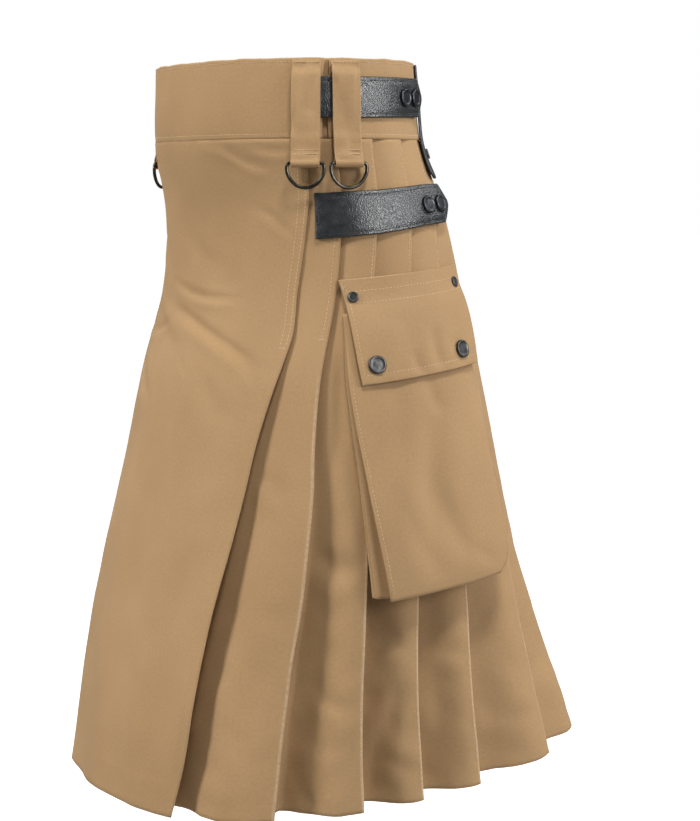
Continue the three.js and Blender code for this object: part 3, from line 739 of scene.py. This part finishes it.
def band_levels(s):
    """Rows of levels down the band; its turned top edge rises and falls a little."""
    z = np.r_[-0.2, -1.4, np.linspace(-2.6, -60.6, 26), -62.2, -63.8][:, None]
    return z + unevenness(s, 0.0, 13, 50, 72) * 0.5 * ramp(z, -24, 0)


def band_grid(s):
    z = band_levels(s[None, :])
    return spot(z, s[None, :], band_height(s[None, :], z))


front_s = np.linspace(-FRONT_BAND_END, FRONT_BAND_END, 130)
cloth_piece("waistband_front_cloth", band_grid(front_s), BAND_WALL, ["waistband_front"])
back_u = np.linspace(-1, 1, 196)


def back_band_grid():
    half = half_girth(-32)
    s = half + back_u[None, :] * (half - BACK_BAND_END)
    z = band_levels(s)
    half = half_girth(z)
    s = half + back_u[None, :] * (half - BACK_BAND_END)
    return spot(z, s, band_height(s, z))


cloth_piece("waistband_back_cloth", back_band_grid(), BAND_WALL, ["waistband_back"])
under_s = np.linspace(-UNDER_BAND_END, UNDER_BAND_END, 110)
z = np.linspace(-0.3, -63.7, 22)[:, None]
cloth_piece("waistband_under_cloth", spot(z, under_s[None, :], -BAND_WALL - 0.35 - 1), 1.9, ["waistband_under"])

# %% [markdown]
# ## Leather straps
# Each strap is two leathers sewn face to face: the stitch line pulls the edges down, so the middle
# stands a little proud, and the cut edges are rounded. The end is cut to a point past the snaps.

# %% Straps
SEAT, LEATHER = 0.5, 2.6
STRAPS = {
    "waist_strap": Table("s z half lift", (134, -31, 16, 0), (190, -30.7, 16, 0), (246, -29.8, 15.7, 0.3),
                         (260.5, -29.6, 15.4, 1.9), (268.5, -29.6, 2.5, 3.6)),
    "hip_strap": Table("s z half lift", (145, -126.3, 18, 0), (198, -122.8, 17.2, 0), (246, -117.6, 16.2, 0.5),
                       (270, -116.6, 15.6, 3.2), (280, -116.5, 2.5, 5)),
}


def strap_spot(tab, s, v, height):
    """Point of a strap at arc s and v across it (-1 to 1), at a height in its wall."""
    level = tab.straight(s, "z") + v * tab.straight(s, "half")
    return spot(level, s, SEAT + tab.straight(s, "lift") + height)


def strap_grid(tab):
    start, shoulder, tip = tab.key[[0, -2, -1]]
    s = np.r_[np.arange(start, shoulder, 1.6), shoulder - 0.4, np.linspace(shoulder, tip, 10)]
    v = np.r_[1, 0.97, 0.92, 0.87, 0.82, np.linspace(0.7, -0.7, 9), -0.82, -0.87, -0.92, -0.97, -1]
    s, v = s[None, :], v[:, None]
    half = tab.straight(s, "half")
    from_edge = np.minimum((1 - np.abs(v)) * half, np.minimum(s - start, (tip - s) * 1.2 + 1.2))
    height = LEATHER / 2 + 0.1 - 0.55 * bell(from_edge, 2.2, 1.3) - 0.35 * (from_edge < 1.0)
    height = height + unevenness(s, v * 16, 14, 14, 90) * 0.12
    return strap_spot(tab, s, v, height), LEATHER - 0.3 - 0.5 * bell(from_edge, 0, 1.6)


for name, tab in STRAPS.items():
    grid, wall = strap_grid(tab)
    for side, hide, thick in each_side(grid, wall):
        fit(shell(f"{name}_leather_{side}", hide, thick, leather, rim=0.3), "kilt", "leather", f"{name}_{side}")

# %% Back loops
BACK_LOOP = Table(
    "z lift",
    (-1.5, 0.4), (-10, 0.5), (-28, 1.6), (-48, 1.3), (-61, 0.7), (-70, 0.6), (-81, 0.9), (-93, 1.8),
)
BACK_LOOP_ARC, BACK_LOOP_WALL = 283.0, 2.2


def back_loop_spot(z, x, height):
    return spot(z, BACK_LOOP_ARC + x, BACK_LOOP(z, "lift") + height)


def back_loop_grid():
    z = np.r_[-1.6, np.linspace(-3, -92.5, 46), -94.6, -95.8]
    half = 11.4 * np.sqrt(np.clip(1 - (np.clip(-z - 86, 0, None) / 10.4) ** 2.6, 0.08, 1))
    v = np.r_[-1, -0.95, -0.86, -0.78, np.linspace(-0.6, 0.6, 5), 0.78, 0.86, 0.95, 1]
    x = half[:, None] * v[None, :]
    from_edge = (1 - np.abs(v))[None, :] * half[:, None]
    return back_loop_spot(z[:, None], x, BACK_LOOP_WALL / 2 - 0.3 * bell(from_edge, 2, 1.2))


for side, hide in each_side(back_loop_grid()):
    fit(shell(f"back_loop_leather_{side}", hide, 1.9, leather, rim=0.3), "kilt", "leather", f"back_loop_{side}")

# %% [markdown]
# ## Cargo pocket and flap
# The pocket is a bellows pocket: its front panel stands off the pleats on a folded gusset, more at
# the foot than at the top, and the panel's edges are pinched and stitched. The flap is doubled
# canvas, sewn along its top and snapped at its lower corners.

# %% Pocket
POCKET_TOP = dict(front=173, frontZ=-205, back=289, backZ=-195)
POCKET_FOOT = dict(front=247, frontZ=-430, back=368, backZ=-425)
POCKET_WIDTH, POCKET_DROP = 104, 236
POCKET = Table(
    "v stand inset round",
    (0, 2, 0.6, 0), (0.3, 7.6, 2, 0), (0.65, 15.5, 5, 0), (0.88, 20, 8, 0), (0.96, 20.5, 9, 4), (1, 19.5, 9.5, 12),
)
POCKET_CREASES = [
    # u0, v0, u1, v1 in mm from the panel's top front corner, then width, depth, bend
    (68, -70, 42, -196, 12, 4.6, 8),
    (30, -44, 22, -120, 9, 1.6, -4),
    (94, -60, 92, -170, 10, -1.6, -5),
    (52, -150, 66, -214, 8, 1.8, 3),
    (58, -60, 66, -92, 6, 1.5, 2),
    (18, -150, 40, -225, 8, 1.2, 3),
    (70, -205, 98, -228, 6, 1.0, 2),
]


def patch(top, foot, u, v):
    """Arc and level of a point u across and v down a four-cornered panel."""
    mix = lambda a, b, t: a + (b - a) * t
    return [mix(mix(top["front" + c], top["back" + c], u), mix(foot["front" + c], foot["back" + c], u), v)
            for c in ("", "Z")]


def pocket_face(u, v, height=0.0):
    """Point of the front panel, u across it and v down it."""
    stand, inset, rounded = POCKET(v, "stand", "inset", "round")
    s, z = patch(POCKET_TOP, POCKET_FOOT, u, v)
    s = s + inset * (1 - u) - rounded * ramp(u, 0.6, 1.0)
    mm_u, mm_v = u * POCKET_WIDTH, -v * POCKET_DROP
    wave = 1.6 * arch(v) - 1.2 * ramp(v, 0.8, 1) + troughs(mm_u, mm_v, POCKET_CREASES)
    wave += unevenness(mm_u, mm_v, 30, 46, 81) * 0.7
    return spot(z, s, 0.05 + stand + wave * arch(u, 0.7) + height)


def pocket_grid():
    v = np.linspace(0, 1, 92)[:, None]
    stand, inset = POCKET(v, "stand", "inset")
    s0, z0 = patch(POCKET_TOP, POCKET_FOOT, 0.0, v)
    s1, z1 = patch(POCKET_TOP, POCKET_FOOT, 1.0, v)
    s1 = s1 - POCKET(v, "round")
    gusset = [(0.5, 0.02), (3.6, 0.07), (0.5, 0.14), (0.3, 0.19), (4, 0.25), (8.5, 0.37), (11.5, 0.5), (11.5, 0.64),
              (7.5, 0.8), (2.8, 0.91), (0.4, 0.95)]
    front = [spot(z0, s0 + inset * h**0.8 + a * np.minimum(1, stand / 14), 0.5 + stand * h) for a, h in gusset]
    panel = [pocket_face(u, v) for u in np.r_[0, 0.008, 0.022, np.linspace(0.05, 0.95, 34), 0.978, 0.992, 1]]
    rear = [spot(z1, s1 - a * np.minimum(1, stand / 14), 0.5 + stand * h) for a, h in reversed(gusset)]
    grid = np.stack([c[:, 0] if c.ndim == 3 else c for c in front + panel + rear], 1)
    sole_s = np.linspace(s0[-1, 0], s1[-1, 0], grid.shape[1])
    sole = spot(np.linspace(z0[-1, 0], z1[-1, 0], grid.shape[1]) + 3, sole_s, 0.9)
    foot = [grid[-1] * (1 - t) + sole * t + UP * (3.0 * math.sin(math.pi * t) - 0.6 * (t < 0.2))
            for t in (0.04, 0.12, 0.35, 0.6, 0.8, 1.0)]
    return np.concatenate([grid, foot], 0)


for side, cloth in each_side(pocket_grid()):
    cloth_piece(f"pocket_cloth_{side}", cloth, 1.3, [f"pocket_{side}"])

# %% Flap
FLAP_TOP = dict(front=165.5, frontZ=-178, back=286, backZ=-168)
FLAP_FOOT = dict(front=203, frontZ=-260, back=309, backZ=-249)
FLAP = Table("v lift", (0, 0.5), (0.12, 1.1), (0.22, 2.2), (0.33, 4.3), (0.5, 6.6), (0.75, 8.8), (1, 10.6))
FLAP_WALL, FLAP_WIDTH, FLAP_DROP = 1.8, 102, 83
FLAP_CREASES = [
    (60, -46, 62, -80, 5, 2.0, 2),
    (40, -62, 46, -83, 4, 0.9, 1),
    (76, -58, 80, -83, 5, 1.0, -1),
    (30, -30, 38, -60, 9, 0.8, -3),
    (80, -34, 84, -70, 8, 0.9, 2),
]


def flap_spot(u, v, height):
    """Point of the flap's outer face, u across it and v down it."""
    s, z = patch(FLAP_TOP, FLAP_FOOT, u, v)
    fade = np.sin(np.pi * np.clip(u, 0.001, 0.999)) ** 0.5 * ramp(v, 0.2, 0.4)
    mm_u, mm_v = u * FLAP_WIDTH, v * FLAP_DROP
    wave = troughs(mm_u, -mm_v, FLAP_CREASES) * fade + unevenness(mm_u, mm_v, 26, 24, 83) * 0.4 * fade
    dip = 0.3 * bell(mm_u, 3.2, 1.2) + 0.3 * bell((1 - v) * FLAP_DROP, 7, 1.3)
    return spot(z, s, FLAP(v, "lift") + FLAP_WALL + wave - dip + height)


def flap_grid():
    v = np.r_[0, 0.006, 0.015, np.linspace(0.03, 0.97, 44), 0.985, 0.994, 1][:, None]
    u = np.r_[0, 0.005, 0.013, np.linspace(0.03, 0.97, 50), 0.987, 0.995, 1][None, :]
    from_edges = (u * FLAP_WIDTH, (1 - u) * FLAP_WIDTH, (1 - v) * FLAP_DROP)
    roll = -0.35 * sum(np.exp(-distance / 1.2) for distance in from_edges)
    return flap_spot(u, v, roll - FLAP_WALL / 2 + 0.1)


for side, cloth in each_side(flap_grid()):
    cloth_piece(f"flap_cloth_{side}", cloth, 1.6, [f"flap_{side}"])

# %% [markdown]
# ## Belt loops and D-rings
# A belt loop is one strip of canvas folded double round the ring's straight bar and sewn across
# above it. Its side view is drawn in an upright plane through the loop. The ring swings on its bar,
# so each ring is a piece of its own body.

# %% Belt loops
EYE_Z, EYE_LIFT, EYE_TURN_R, LOOP_WIDTH = -84.0, 6.8, 2.9, 23.0
LOOP_ARCS = {"front": 142.5, "rear": 175.0}
LOOP_LIFT = Table("z lift", (-1.5, 0.55), (-6, 0.55), (-14, 4), (-60, 4), (-71, 4.8))


def outward(z, s):
    return unit((spot(z, s, 1.0) - spot(z, s, 0.0)) * (1 - UP))


def loop_frame(arc):
    out = unit(outward(EYE_Z, arc) + outward(0.0, arc))
    return spot(EYE_Z, arc, EYE_LIFT), out, np.cross(out, UP)


def line_height(arc, z):
    """Height of the girth line at level z in the loop's upright plane, from the ring's bar."""
    origin, out, along = loop_frame(arc)
    s = np.linspace(arc - 30, arc + 30, 241)
    p = spot(z, s, 0.0) - origin
    side = p @ along
    order = np.argsort(side)
    return float(np.interp(0.0, side[order], (p @ out)[order]))


def loop_grid(arc):
    origin, out, along = loop_frame(arc)
    levels = np.r_[-1.7, -4:-14.1:-2, -17, -21, np.linspace(-25, -62, 18), -65:-77.1:-3, -79.5]
    base = np.array([line_height(arc, z) for z in levels])
    lift = LOOP_LIFT(np.maximum(levels, -71), "lift")
    neck = ramp(-levels, 69, 81)
    pinch = bell(levels, -75, 2.6) * 0.7 - bell(levels, -64, 4.5) * 1.1
    outer = (base + lift + 1.65 - pinch) * (1 - neck) + neck * (1.5 - pinch)
    inner = (base + lift + 0.55) * (1 - neck) + neck * (-0.55)
    turn = np.radians(np.linspace(58, -238, 15))
    ny = np.r_[outer, EYE_TURN_R * np.cos(turn), inner[::-1]]
    nz = np.r_[levels - EYE_Z, EYE_TURN_R * np.sin(turn), (levels - EYE_Z)[::-1]]
    x = np.linspace(-LOOP_WIDTH / 2, LOOP_WIDTH / 2, 17)
    edge = np.abs(x) / (LOOP_WIDTH / 2)
    dent = -0.3 * bell(edge, 0.8, 0.1)
    ny, nz, x = ny[:, None], nz[:, None], x[None, :]
    ripple = unevenness(x, nz + arc, 8, 15, 95) * 0.9 + unevenness(x, nz + arc, 20, 34, 96) * 1.2
    ripple = ripple * ramp(nz, -4, 8) * ramp(-nz, -82, -74)
    is_outer = (np.arange(len(ny)) < len(levels))[:, None]
    height = ny + np.where(is_outer, dent + ripple, 0)
    return origin + height[..., None] * out + x[..., None] * along + nz[..., None] * UP


for where, arc in LOOP_ARCS.items():
    for side, cloth in each_side(loop_grid(arc)[:, ::-1]):
        cloth_piece(f"belt_loop_cloth_{where}_{side}", cloth, 1.05, [f"belt_loop_{where}_{side}"])

# %% D-rings
BAR_R = 1.5
RING_OUTLINE = [(12.7, 0), (14.7, -1.2), (15.2, -4.2), (14.5, -8.6), (12.3, -13), (8.8, -16.7), (4.6, -18.9)]
RING_BOTTOM = -19.6


def rounded(points, per):
    """A closed smooth line through points."""
    p = np.array(points, float)
    out = []
    for i in range(len(p)):
        a, b, c, d = (p[(i + k) % len(p)] for k in (-1, 0, 1, 2))
        for t in np.arange(per) / per:
            square, cube = 2 * a - 5 * b + 4 * c - d, 3 * b - a - 3 * c + d
            out.append(0.5 * (2 * b + (c - a) * t + square * t * t + cube * t**3))
    return np.array(out)


def wire(line, normal, radius, sides=18):
    """Points and quads of a round wire along a closed flat line."""
    flat = np.cross(unit(np.roll(line, -1, 0) - np.roll(line, 1, 0)), normal)
    angle = 2 * np.pi * np.arange(sides)[None, :, None] / sides
    points = line[:, None] + radius * (np.cos(angle) * flat[:, None] + np.sin(angle) * normal)
    i, k = np.ogrid[:len(line), :sides]
    i2, k2 = (i + 1) % len(line), (k + 1) % sides
    quads = np.stack([i * sides + k, i * sides + k2, i2 * sides + k2, i2 * sides + k], -1).reshape(-1, 4)
    return points.reshape(-1, 3), quads


ring_line = RING_OUTLINE + [(0, RING_BOTTOM)] + [(-x, z) for x, z in reversed(RING_OUTLINE)]
ring_line += [(x, 0) for x in (-9, -4, 0, 4, 9)]
ring_flat = rounded(ring_line, 6)
for where, arc in LOOP_ARCS.items():
    for side, sign in SIDES.items():
        origin, out, along = loop_frame(arc)
        mirror = np.array([sign, 1.0, 1.0])
        line = origin + ring_flat[:, :1] * along + ring_flat[:, 1:] * UP
        line, out = line * mirror, out * mirror
        points, quads = wire(line, out, BAR_R)
        if sign > 0:
            quads = quads[:, ::-1]
        ring = write_mesh(f"d_ring_wire_{where}_{side}", points, quads, points[:, :2] * MM, ring_metal)
        fit(ring, f"ring_{where}_{side}", "ring_metal", f"d_ring_{where}_{side}")

# %% [markdown]
# ## Snaps and rivets
# All caps are the same turned shape: a flat rim, a rolled edge and a shallow dish. Geometry Nodes
# place one cap on each point of a small mesh, turned to the face it sits on and made to size, so one
# shape serves snaps and rivets alike.


# %% Where the caps sit
def seat(face, radius):
    """Point and outward direction of a cap that rests on a face given as a function of two arcs."""
    across, up = face(radius, 0) - face(-radius, 0), face(0, radius) - face(0, -radius)
    out = unit(np.cross(across, up))
    rim = [face(x * radius, y * radius) for x, y in ((1, 0), (-1, 0), (0, 1), (0, -1), (0, 0))]
    level = max(float(p @ out) for p in rim)
    middle = face(0, 0)
    return middle + out * (level - float(middle @ out)), out


def on_strap(name, s):
    tab = STRAPS[name]
    return lambda x, y: strap_spot(tab, s + x, y / float(tab.straight(s + x, "half")), LEATHER + 0.05)


def on_flap(u, v):
    return lambda x, y: flap_spot(u + x / 100, v - y / FLAP_DROP, 0.1)


SNAP_R, RIVET_R = 7.5, 4.5
CAPS = [
    ("waist_snap_1", on_strap("waist_strap", 235), SNAP_R),
    ("waist_snap_2", on_strap("waist_strap", 252.2), SNAP_R),
    ("hip_snap_1", on_strap("hip_strap", 246), SNAP_R),
    ("hip_snap_2", on_strap("hip_strap", 262.5), SNAP_R),
    ("flap_snap_front", on_flap(0.117, 0.825), SNAP_R),
    ("flap_snap_rear", on_flap(0.813, 0.823), SNAP_R),
    ("flap_rivet_front", on_flap(0.056, 0.165), RIVET_R),
    ("flap_rivet_rear", on_flap(0.9, 0.16), RIVET_R),
    ("back_rivet", lambda x, y: back_loop_spot(-75.5 + y, x, BACK_LOOP_WALL + 0.1), RIVET_R),
]


# %% One turned cap
def turned(name, profile, sides, material):
    """A closed body turned about Z from a profile of (radius, height) that starts and ends on the axis."""
    profile = np.array(profile, float)
    inner = profile[1:-1]
    angle = 2 * np.pi * np.arange(sides) / sides
    ring = np.stack([np.cos(angle), np.sin(angle)], -1)
    axis = [[[0, 0, profile[0, 1]], [0, 0, profile[-1, 1]]]]
    points = np.concatenate([np.c_[r * ring, np.full(sides, h)] for r, h in inner] + axis)
    low, high = len(points) - 2, len(points) - 1
    last = (len(inner) - 1) * sides
    pairs = [(k, (k + 1) % sides) for k in range(sides)]
    faces = [(row + k, row + k2, row + sides + k2, row + sides + k)
             for row in range(0, last, sides) for k, k2 in pairs]
    for k, k2 in pairs:
        faces += [(low, k2, k), (high, last + k, last + k2)]
    mesh = bpy.data.meshes.new(name)
    mesh.from_pydata(points * MM, [], faces, shade_flat=False)
    mesh.materials.append(material)
    return link(name, mesh)


CAP_PROFILE = [(0, 0), (6.9, 0), (7.35, 0.15), (7.5, 0.5), (7.5, 1.1), (7.3, 1.7), (6.9, 2.1), (6.4, 2.3),
               (5.9, 2.3), (5.5, 2.1), (5.2, 1.85), (4.4, 1.8), (3.0, 1.9), (1.5, 1.95), (0, 1.95)]
cap_shape = turned("cap_shape", CAP_PROFILE, 32, snap_metal)


# %% [markdown]
# ## One tree that sets copies on points
# Stitches, snaps and rivets are all copies of a small shape on points. The tree reads each point's
# "out" and "along" directions and its "size", turns a copy to match, makes the copies real and gives
# them their material.


# %% The scatter tree
def scatter_tree(name):
    tree = bpy.data.node_groups.new(name, "GeometryNodeTree")
    for label, kind in (("Points", "Geometry"), ("Shape", "Object"), ("Finish", "Material")):
        tree.interface.new_socket(label, in_out="INPUT", socket_type="NodeSocket" + kind)
    tree.interface.new_socket("Geometry", in_out="OUTPUT", socket_type="NodeSocketGeometry")

    def new(kind, **settings):
        node = tree.nodes.new(kind)
        for setting, value in settings.items():
            setattr(node, setting, value)
        return node

    def named(attribute):
        node = new("GeometryNodeInputNamedAttribute", data_type="FLOAT_VECTOR")
        node.inputs["Name"].default_value = attribute
        return node.outputs["Attribute"]

    start, end = new("NodeGroupInput").outputs, new("NodeGroupOutput")
    first = new("FunctionNodeAlignRotationToVector", axis="Z")
    second = new("FunctionNodeAlignRotationToVector", axis="X", pivot_axis="Z")
    shape = new("GeometryNodeObjectInfo")
    copies = new("GeometryNodeInstanceOnPoints")
    real = new("GeometryNodeRealizeInstances")
    finish = new("GeometryNodeSetMaterial")
    for output, node, socket in (
        (named("out"), first, "Vector"),
        (first.outputs[0], second, "Rotation"),
        (named("along"), second, "Vector"),
        (start["Shape"], shape, "Object"),
        (start["Points"], copies, "Points"),
        (shape.outputs["Geometry"], copies, "Instance"),
        (second.outputs[0], copies, "Rotation"),
        (named("size"), copies, "Scale"),
        (copies.outputs[0], real, 0),
        (real.outputs[0], finish, "Geometry"),
        (start["Finish"], finish, "Material"),
        (finish.outputs[0], end, "Geometry"),
    ):
        tree.links.new(output, node.inputs[socket])
    return tree


scatter = scatter_tree("set_on_points")


def set_copies(name, points, out, along, size, shape, material):
    """Copies of a shape on points, as one plain mesh on the kilt."""
    seeds = bpy.data.meshes.new(name + "_points")
    seeds.from_pydata(np.asarray(points) * MM, [], [])
    for label, values in (("out", out), ("along", along), ("size", size)):
        attribute = seeds.attributes.new(label, "FLOAT_VECTOR", "POINT")
        attribute.data.foreach_set("vector", np.asarray(values, float).ravel())
    carrier = link(name + "_carrier", seeds)
    modifier = carrier.modifiers.new("set", "NODES")
    modifier.node_group = scatter
    for item in scatter.interface.items_tree:
        if item.name in ("Shape", "Finish"):
            modifier[item.identifier] = shape if item.name == "Shape" else material
    mesh = bpy.data.meshes.new_from_object(carrier.evaluated_get(bpy.context.evaluated_depsgraph_get()))
    mesh.name = name
    mesh.materials.clear()
    mesh.materials.append(material)
    bpy.data.objects.remove(carrier)
    bpy.data.meshes.remove(seeds)
    return link(name, mesh)


# %% Set the caps
def set_caps(title, rows, material):
    points, outs, scales, nodes = [], [], [], []
    for name, face, radius in rows:
        point, out = seat(face, radius)
        for side, sign in SIDES.items():
            points.append(point * [sign, 1, 1])
            outs.append(out * [sign, 1, 1])
            scales.append([radius / SNAP_R] * 3)
            nodes.append(f"{name}_{side}")
    caps = set_copies(title, points, outs, [(0, 0, 1)] * len(points), scales, cap_shape, material)
    fit(caps, "kilt", "snap_metal", *nodes)
    print(title, len(points), "caps", len(caps.data.polygons), "faces")


STRAP_CAPS = 4
set_caps("strap_caps", CAPS[:STRAP_CAPS], snap_black)
set_caps("flap_caps", CAPS[STRAP_CAPS:], snap_metal)
bpy.data.objects.remove(cap_shape)

# %% [markdown]
# ## Topstitching
# Stitches show the maker's hand, so they are real geometry: each is a small capsule of thread that
# lies half sunk in the cloth. A row is given by two lines on a surface, and the points between are
# spaced evenly along the real cloth, whatever its shape.


# %% Rows of stitches
def stitch_row(surface, a, b, pitch=3.2):
    """Points, outward and forward directions along a line on a surface from a to b (arrays allowed)."""
    t = np.linspace(0, 1, 400)
    p, q = (np.interp(t, np.linspace(0, 1, len(ends)), ends) for ends in (a, b))
    line = surface(p, q)
    run = length_along(line)
    at = np.arange(pitch * 0.7, run[-1] - pitch * 0.4, pitch)
    on_line = lambda x: np.stack([np.interp(x, run, line[:, i]) for i in range(3)], 1)
    p, q = (np.interp(at, run, values) for values in (p, q))
    e = 0.6
    out = unit(np.cross(surface(p + e, q) - surface(p - e, q), surface(p, q + e) - surface(p, q - e)))
    return on_line(at), out, unit(on_line(at + 1) - on_line(at - 1))


def apron_face(s, z):
    return spot(z, s, apron_height(s, z) + 0.68)


def band_face(s, z):
    return spot(z, s, band_height(s, z) + BAND_WALL / 2)


def panel_face(k):
    def face(t, z):
        s, d = panel_height(k, t / 100, z)
        return spot(z, s, d + CLOTH / 2)
    return face


def flap_face(u, v):
    return flap_spot(u / FLAP_WIDTH, v / -FLAP_DROP, -0.05)


def pocket_panel(u, v):
    return pocket_face(u / POCKET_WIDTH, v / -POCKET_DROP, 0.66)


def loop_face(arc):
    origin, out, along = loop_frame(arc)
    middle = loop_grid(arc)[:33, 8] - origin
    middle = middle[np.argsort(middle[:, 2])]

    def face(x, z):
        x, z = np.broadcast_arrays(x, z)
        base = np.interp(z - EYE_Z, middle[:, 2], middle @ out) + 0.5
        return origin + x[:, None] * along + base[:, None] * out + (z - EYE_Z)[:, None] * UP
    return face


# %% Gather the rows
BAND_ROWS = (-2.6, -60.6)
tan_rows, half_rows, half_black = [], [], []
sew = lambda *row: tan_rows.append(stitch_row(*row))
half_sew = lambda *row: half_rows.append(stitch_row(*row))
for z in BAND_ROWS:
    sew(band_face, [-FRONT_BAND_END + 2, FRONT_BAND_END - 2], [z, z])
levels = np.linspace(-66, STITCHED_TO, 12)
for sign in SIDES.values():
    for inset in (2.2, 8.0):
        sew(apron_face, sign * (apron_edge(levels) - inset), levels)


def half_tack(surface, a, b):
    """A bar tack: dense stitches across a short line."""
    here, out, ahead = stitch_row(surface, a, b, 0.9)
    half_rows.append((here, out, np.cross(out, ahead)))


for z in BAND_ROWS:
    half_sew(band_face, [BACK_BAND_END + 2, float(half_girth(z))], [z, z])
for k in range(7):
    half_sew(panel_face(k), [93.5, 93.5], [-66, -224])
for u0, z0, u1, z1 in ((2, -9.5, 100, -9.5), (7, -19, 100, -19), (2.6, -3, 2.6, -76), (2.6, -76, 99.4, -76)):
    half_sew(flap_face, [u0, u1], [z0, z1])
half_sew(pocket_panel, [2.4, 2.4], [-60, -233])
for u in (1, 101):
    half_tack(flap_face, [u, u], [-1.5, -8])
for k in range(7):
    half_tack(panel_face(k), [90, 97], [-225, -225])
row_end = float(apron_edge(STITCHED_TO))
half_tack(apron_face, [row_end - 8.5, row_end - 1.8], [STITCHED_TO, STITCHED_TO])
for arc in LOOP_ARCS.values():
    half_sew(loop_face(arc), [-10, 10], [-3.2, -3.2])
    for z in (-76.5, -73.5):
        half_sew(loop_face(arc), [-10.2, 10.2], [z, z], 2.4)
for name, tab in STRAPS.items():
    start, shoulder = tab.key[0] + 2.4, tab.key[-2] - 2
    run = np.linspace(start, shoulder, 30)
    for v in (1, -1):
        across = v * (1 - 2.4 / tab.straight(run, "half"))
        surface = lambda s, v, tab=tab: strap_spot(tab, s, v / 20, LEATHER - 0.3)
        half_black.append(stitch_row(surface, run, across * 20, 3.4))
    half_black.append(stitch_row(surface, [start, start], [-17, 17], 3.4))


# %% Set the stitches
def both_sides(rows):
    return rows + [tuple(part * MIRROR for part in row) for row in rows]


stitch_shape = turned("stitch_shape", [(0, -0.5), (0.3, -0.4), (0.5, 0), (0.3, 0.4), (0, 0.5)], 6, tan_thread)
stitch_shape.data.transform(Matrix.Rotation(math.pi / 2, 4, "Y"))


def set_stitches(name, rows, material, length, width, slot):
    here, out, ahead = (np.concatenate([row[i] for row in rows]) for i in range(3))
    size = np.random.RandomState(5).uniform(0.9, 1.1, (len(here), 1)) * (length, width, width)
    piece = set_copies(name, here, out, ahead, size, stitch_shape, material)
    fit(piece, "kilt", slot)
    print(name, len(here), "stitches,", len(piece.data.polygons), "faces")


set_stitches("topstitch_tan", tan_rows + both_sides(half_rows), tan_thread, 2.3, 0.75, "canvas")
set_stitches("topstitch_black", both_sides(half_black), black_thread, 2.7, 0.85, "leather")
bpy.data.objects.remove(stitch_shape)
